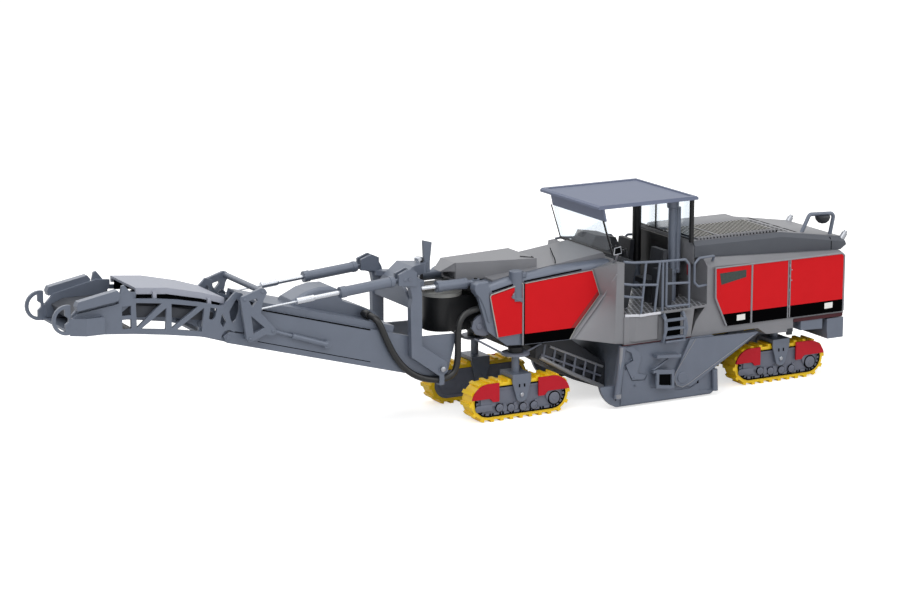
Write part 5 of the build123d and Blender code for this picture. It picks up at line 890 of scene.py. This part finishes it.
makeGear(gearSpec)
print("gear made")

# The black hose from the nose to the conveyor, on one smooth curve through the slewing frame
hoseSpec = {
    "radius": 1.25,
    "rear": ((11.5, 14.4, 43.6), (18.2, 14.4, 43.4), (23.6, 14.9, 40.6), (24.6, 15.2, 34.0),
             (24.4, 15.2, 26.0), (25.6, 15.2, 20.2), (29.0, 15.2, 18.2), (32.2, 15.2, 18.0)),
    "front": ((32.2, 15.2, 18.0), (38.0, 15.2, 18.6), (45.5, 15.2, 22.4), (51.0, 15.2, 28.6),
              (54.8, 15.2, 36.0), (57.6, 14.6, 43.4), (59.4, 11.0, 45.0), (59.6, 6.0, 44.8)),
}


def makeHose(spec):
    rear = roundBar(spec["rear"], spec["radius"], True, 6)
    finishPiece(rear, "hoseRear", hoseVinyl, None, angle=60)
    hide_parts("hose_rear")
    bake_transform(rear)
    front = roundBar(spec["front"], spec["radius"], True, 6)
    finishPiece(front, "hoseFront", hoseVinyl, None, angle=60)
    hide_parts("hose_front")
    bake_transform(front)
    sleeve = turnedPiece([(0, 1.3), (0.2, 1.6), (2.8, 1.6), (3.2, 1.25)], (59.6, 7.6, 44.8), (0, 1, 0), 20)
    finishPiece(sleeve, "hoseSleeve", blackAbsAndShade, "rear_boom")


makeHose(hoseSpec)
print("hose made")

# Floor and backdrop: white to the camera, yet it still takes the model's shadow
floorSpec = {"size": 6.0, "colour": "#f4f4f4", "lift": 0.62}


def makeFloor(spec):
    bpy.ops.object.select_all(action="DESELECT")
    bpy.ops.mesh.primitive_plane_add(size=spec["size"], location=(0, 0, 0))
    floor = bpy.context.object
    floor.name = "floor"
    material, tree, shader = newMaterial("matPaperFloor")
    setShader(shader, {"Base Color": toLinear(spec["colour"]), "Roughness": 0.95, "Specular IOR Level": 0.1})
    seen = addNode(tree, "ShaderNodeLightPath")
    glow = addNode(tree, "ShaderNodeMath", {"operation": "MULTIPLY", 1: spec["lift"]},
                   {0: seen.outputs["Is Camera Ray"]})
    shader.inputs["Emission Color"].default_value = (1, 1, 1, 1)
    tree.links.new(glow.outputs["Value"], shader.inputs["Emission Strength"])
    floor.data.materials.append(material)


makeFloor(floorSpec)

# Soft studio light: a large key over the camera's left shoulder, a fill from the right, one from above,
# one from behind and an even world
lampSpec = {
    "key": {"from": (0.55, 0.75, 0.95), "size": 0.9, "watts": 6.6},
    "fill": {"from": (-0.75, 0.75, 0.6), "size": 0.9, "watts": 3.0},
    "top": {"from": (0.0, -0.1, 1.3), "size": 1.0, "watts": 5.4},
    "back": {"from": (0.1, -1.1, 0.7), "size": 0.9, "watts": 1.8},
}
lampAim = Vector((0, 0, 0.04))  # the middle of the model
for name, spec in lampSpec.items():
    light = bpy.data.lights.new(name, "AREA")
    light.shape = "SQUARE"
    light.size = spec["size"]
    light.energy = spec["watts"]
    lamp = bpy.data.objects.new(name, light)
    lamp.location = spec["from"]
    lamp.rotation_euler = (lampAim - lamp.location).to_track_quat("-Z", "Y").to_euler()
    bpy.context.scene.collection.objects.link(lamp)

worldSpec = {"ambient": 0.32}
world = bpy.data.worlds.new("studio")
world.use_nodes = True
tree = world.node_tree
tree.nodes.clear()
paths = addNode(tree, "ShaderNodeLightPath")
cameraOrGloss = addNode(tree, "ShaderNodeMath", {"operation": "MAXIMUM"},
                        {0: paths.outputs["Is Camera Ray"], 1: paths.outputs["Is Glossy Ray"]})
direct = addNode(tree, "ShaderNodeMath", {"operation": "MAXIMUM"},
                 {0: cameraOrGloss.outputs["Value"], 1: paths.outputs["Is Transmission Ray"]})
strength = addNode(tree, "ShaderNodeMapRange", {"To Min": worldSpec["ambient"], "To Max": 1.0},
                   {"Value": direct.outputs["Value"]})
sky = addNode(tree, "ShaderNodeBackground", {"Color": (1, 1, 1, 1)}, {"Strength": strength.outputs["Result"]})
addNode(tree, "ShaderNodeOutputWorld", None, {"Surface": sky.outputs["Background"]})
bpy.context.scene.world = world
bpy.context.scene.view_settings.view_transform = "Standard"

# The photograph's camera: long lens, seen from the front left and a little above
cameraSpec = {"place": at(528.67, 934.07, 284.61), "azimuth": 151.41, "elevation": 12.73, "lens": 114.81}
lens = bpy.data.cameras.new("camera")
lens.sensor_width = 36
lens.lens = cameraSpec["lens"]
lens.clip_start = 0.01
lens.clip_end = 20
camera = bpy.data.objects.new("camera", lens)
camera.location = cameraSpec["place"]
camera.rotation_euler = (math.radians(90 - cameraSpec["elevation"]), 0, math.radians(cameraSpec["azimuth"]))
bpy.context.scene.collection.objects.link(camera)
bpy.context.scene.camera = camera
print("stage, lamps and camera set")
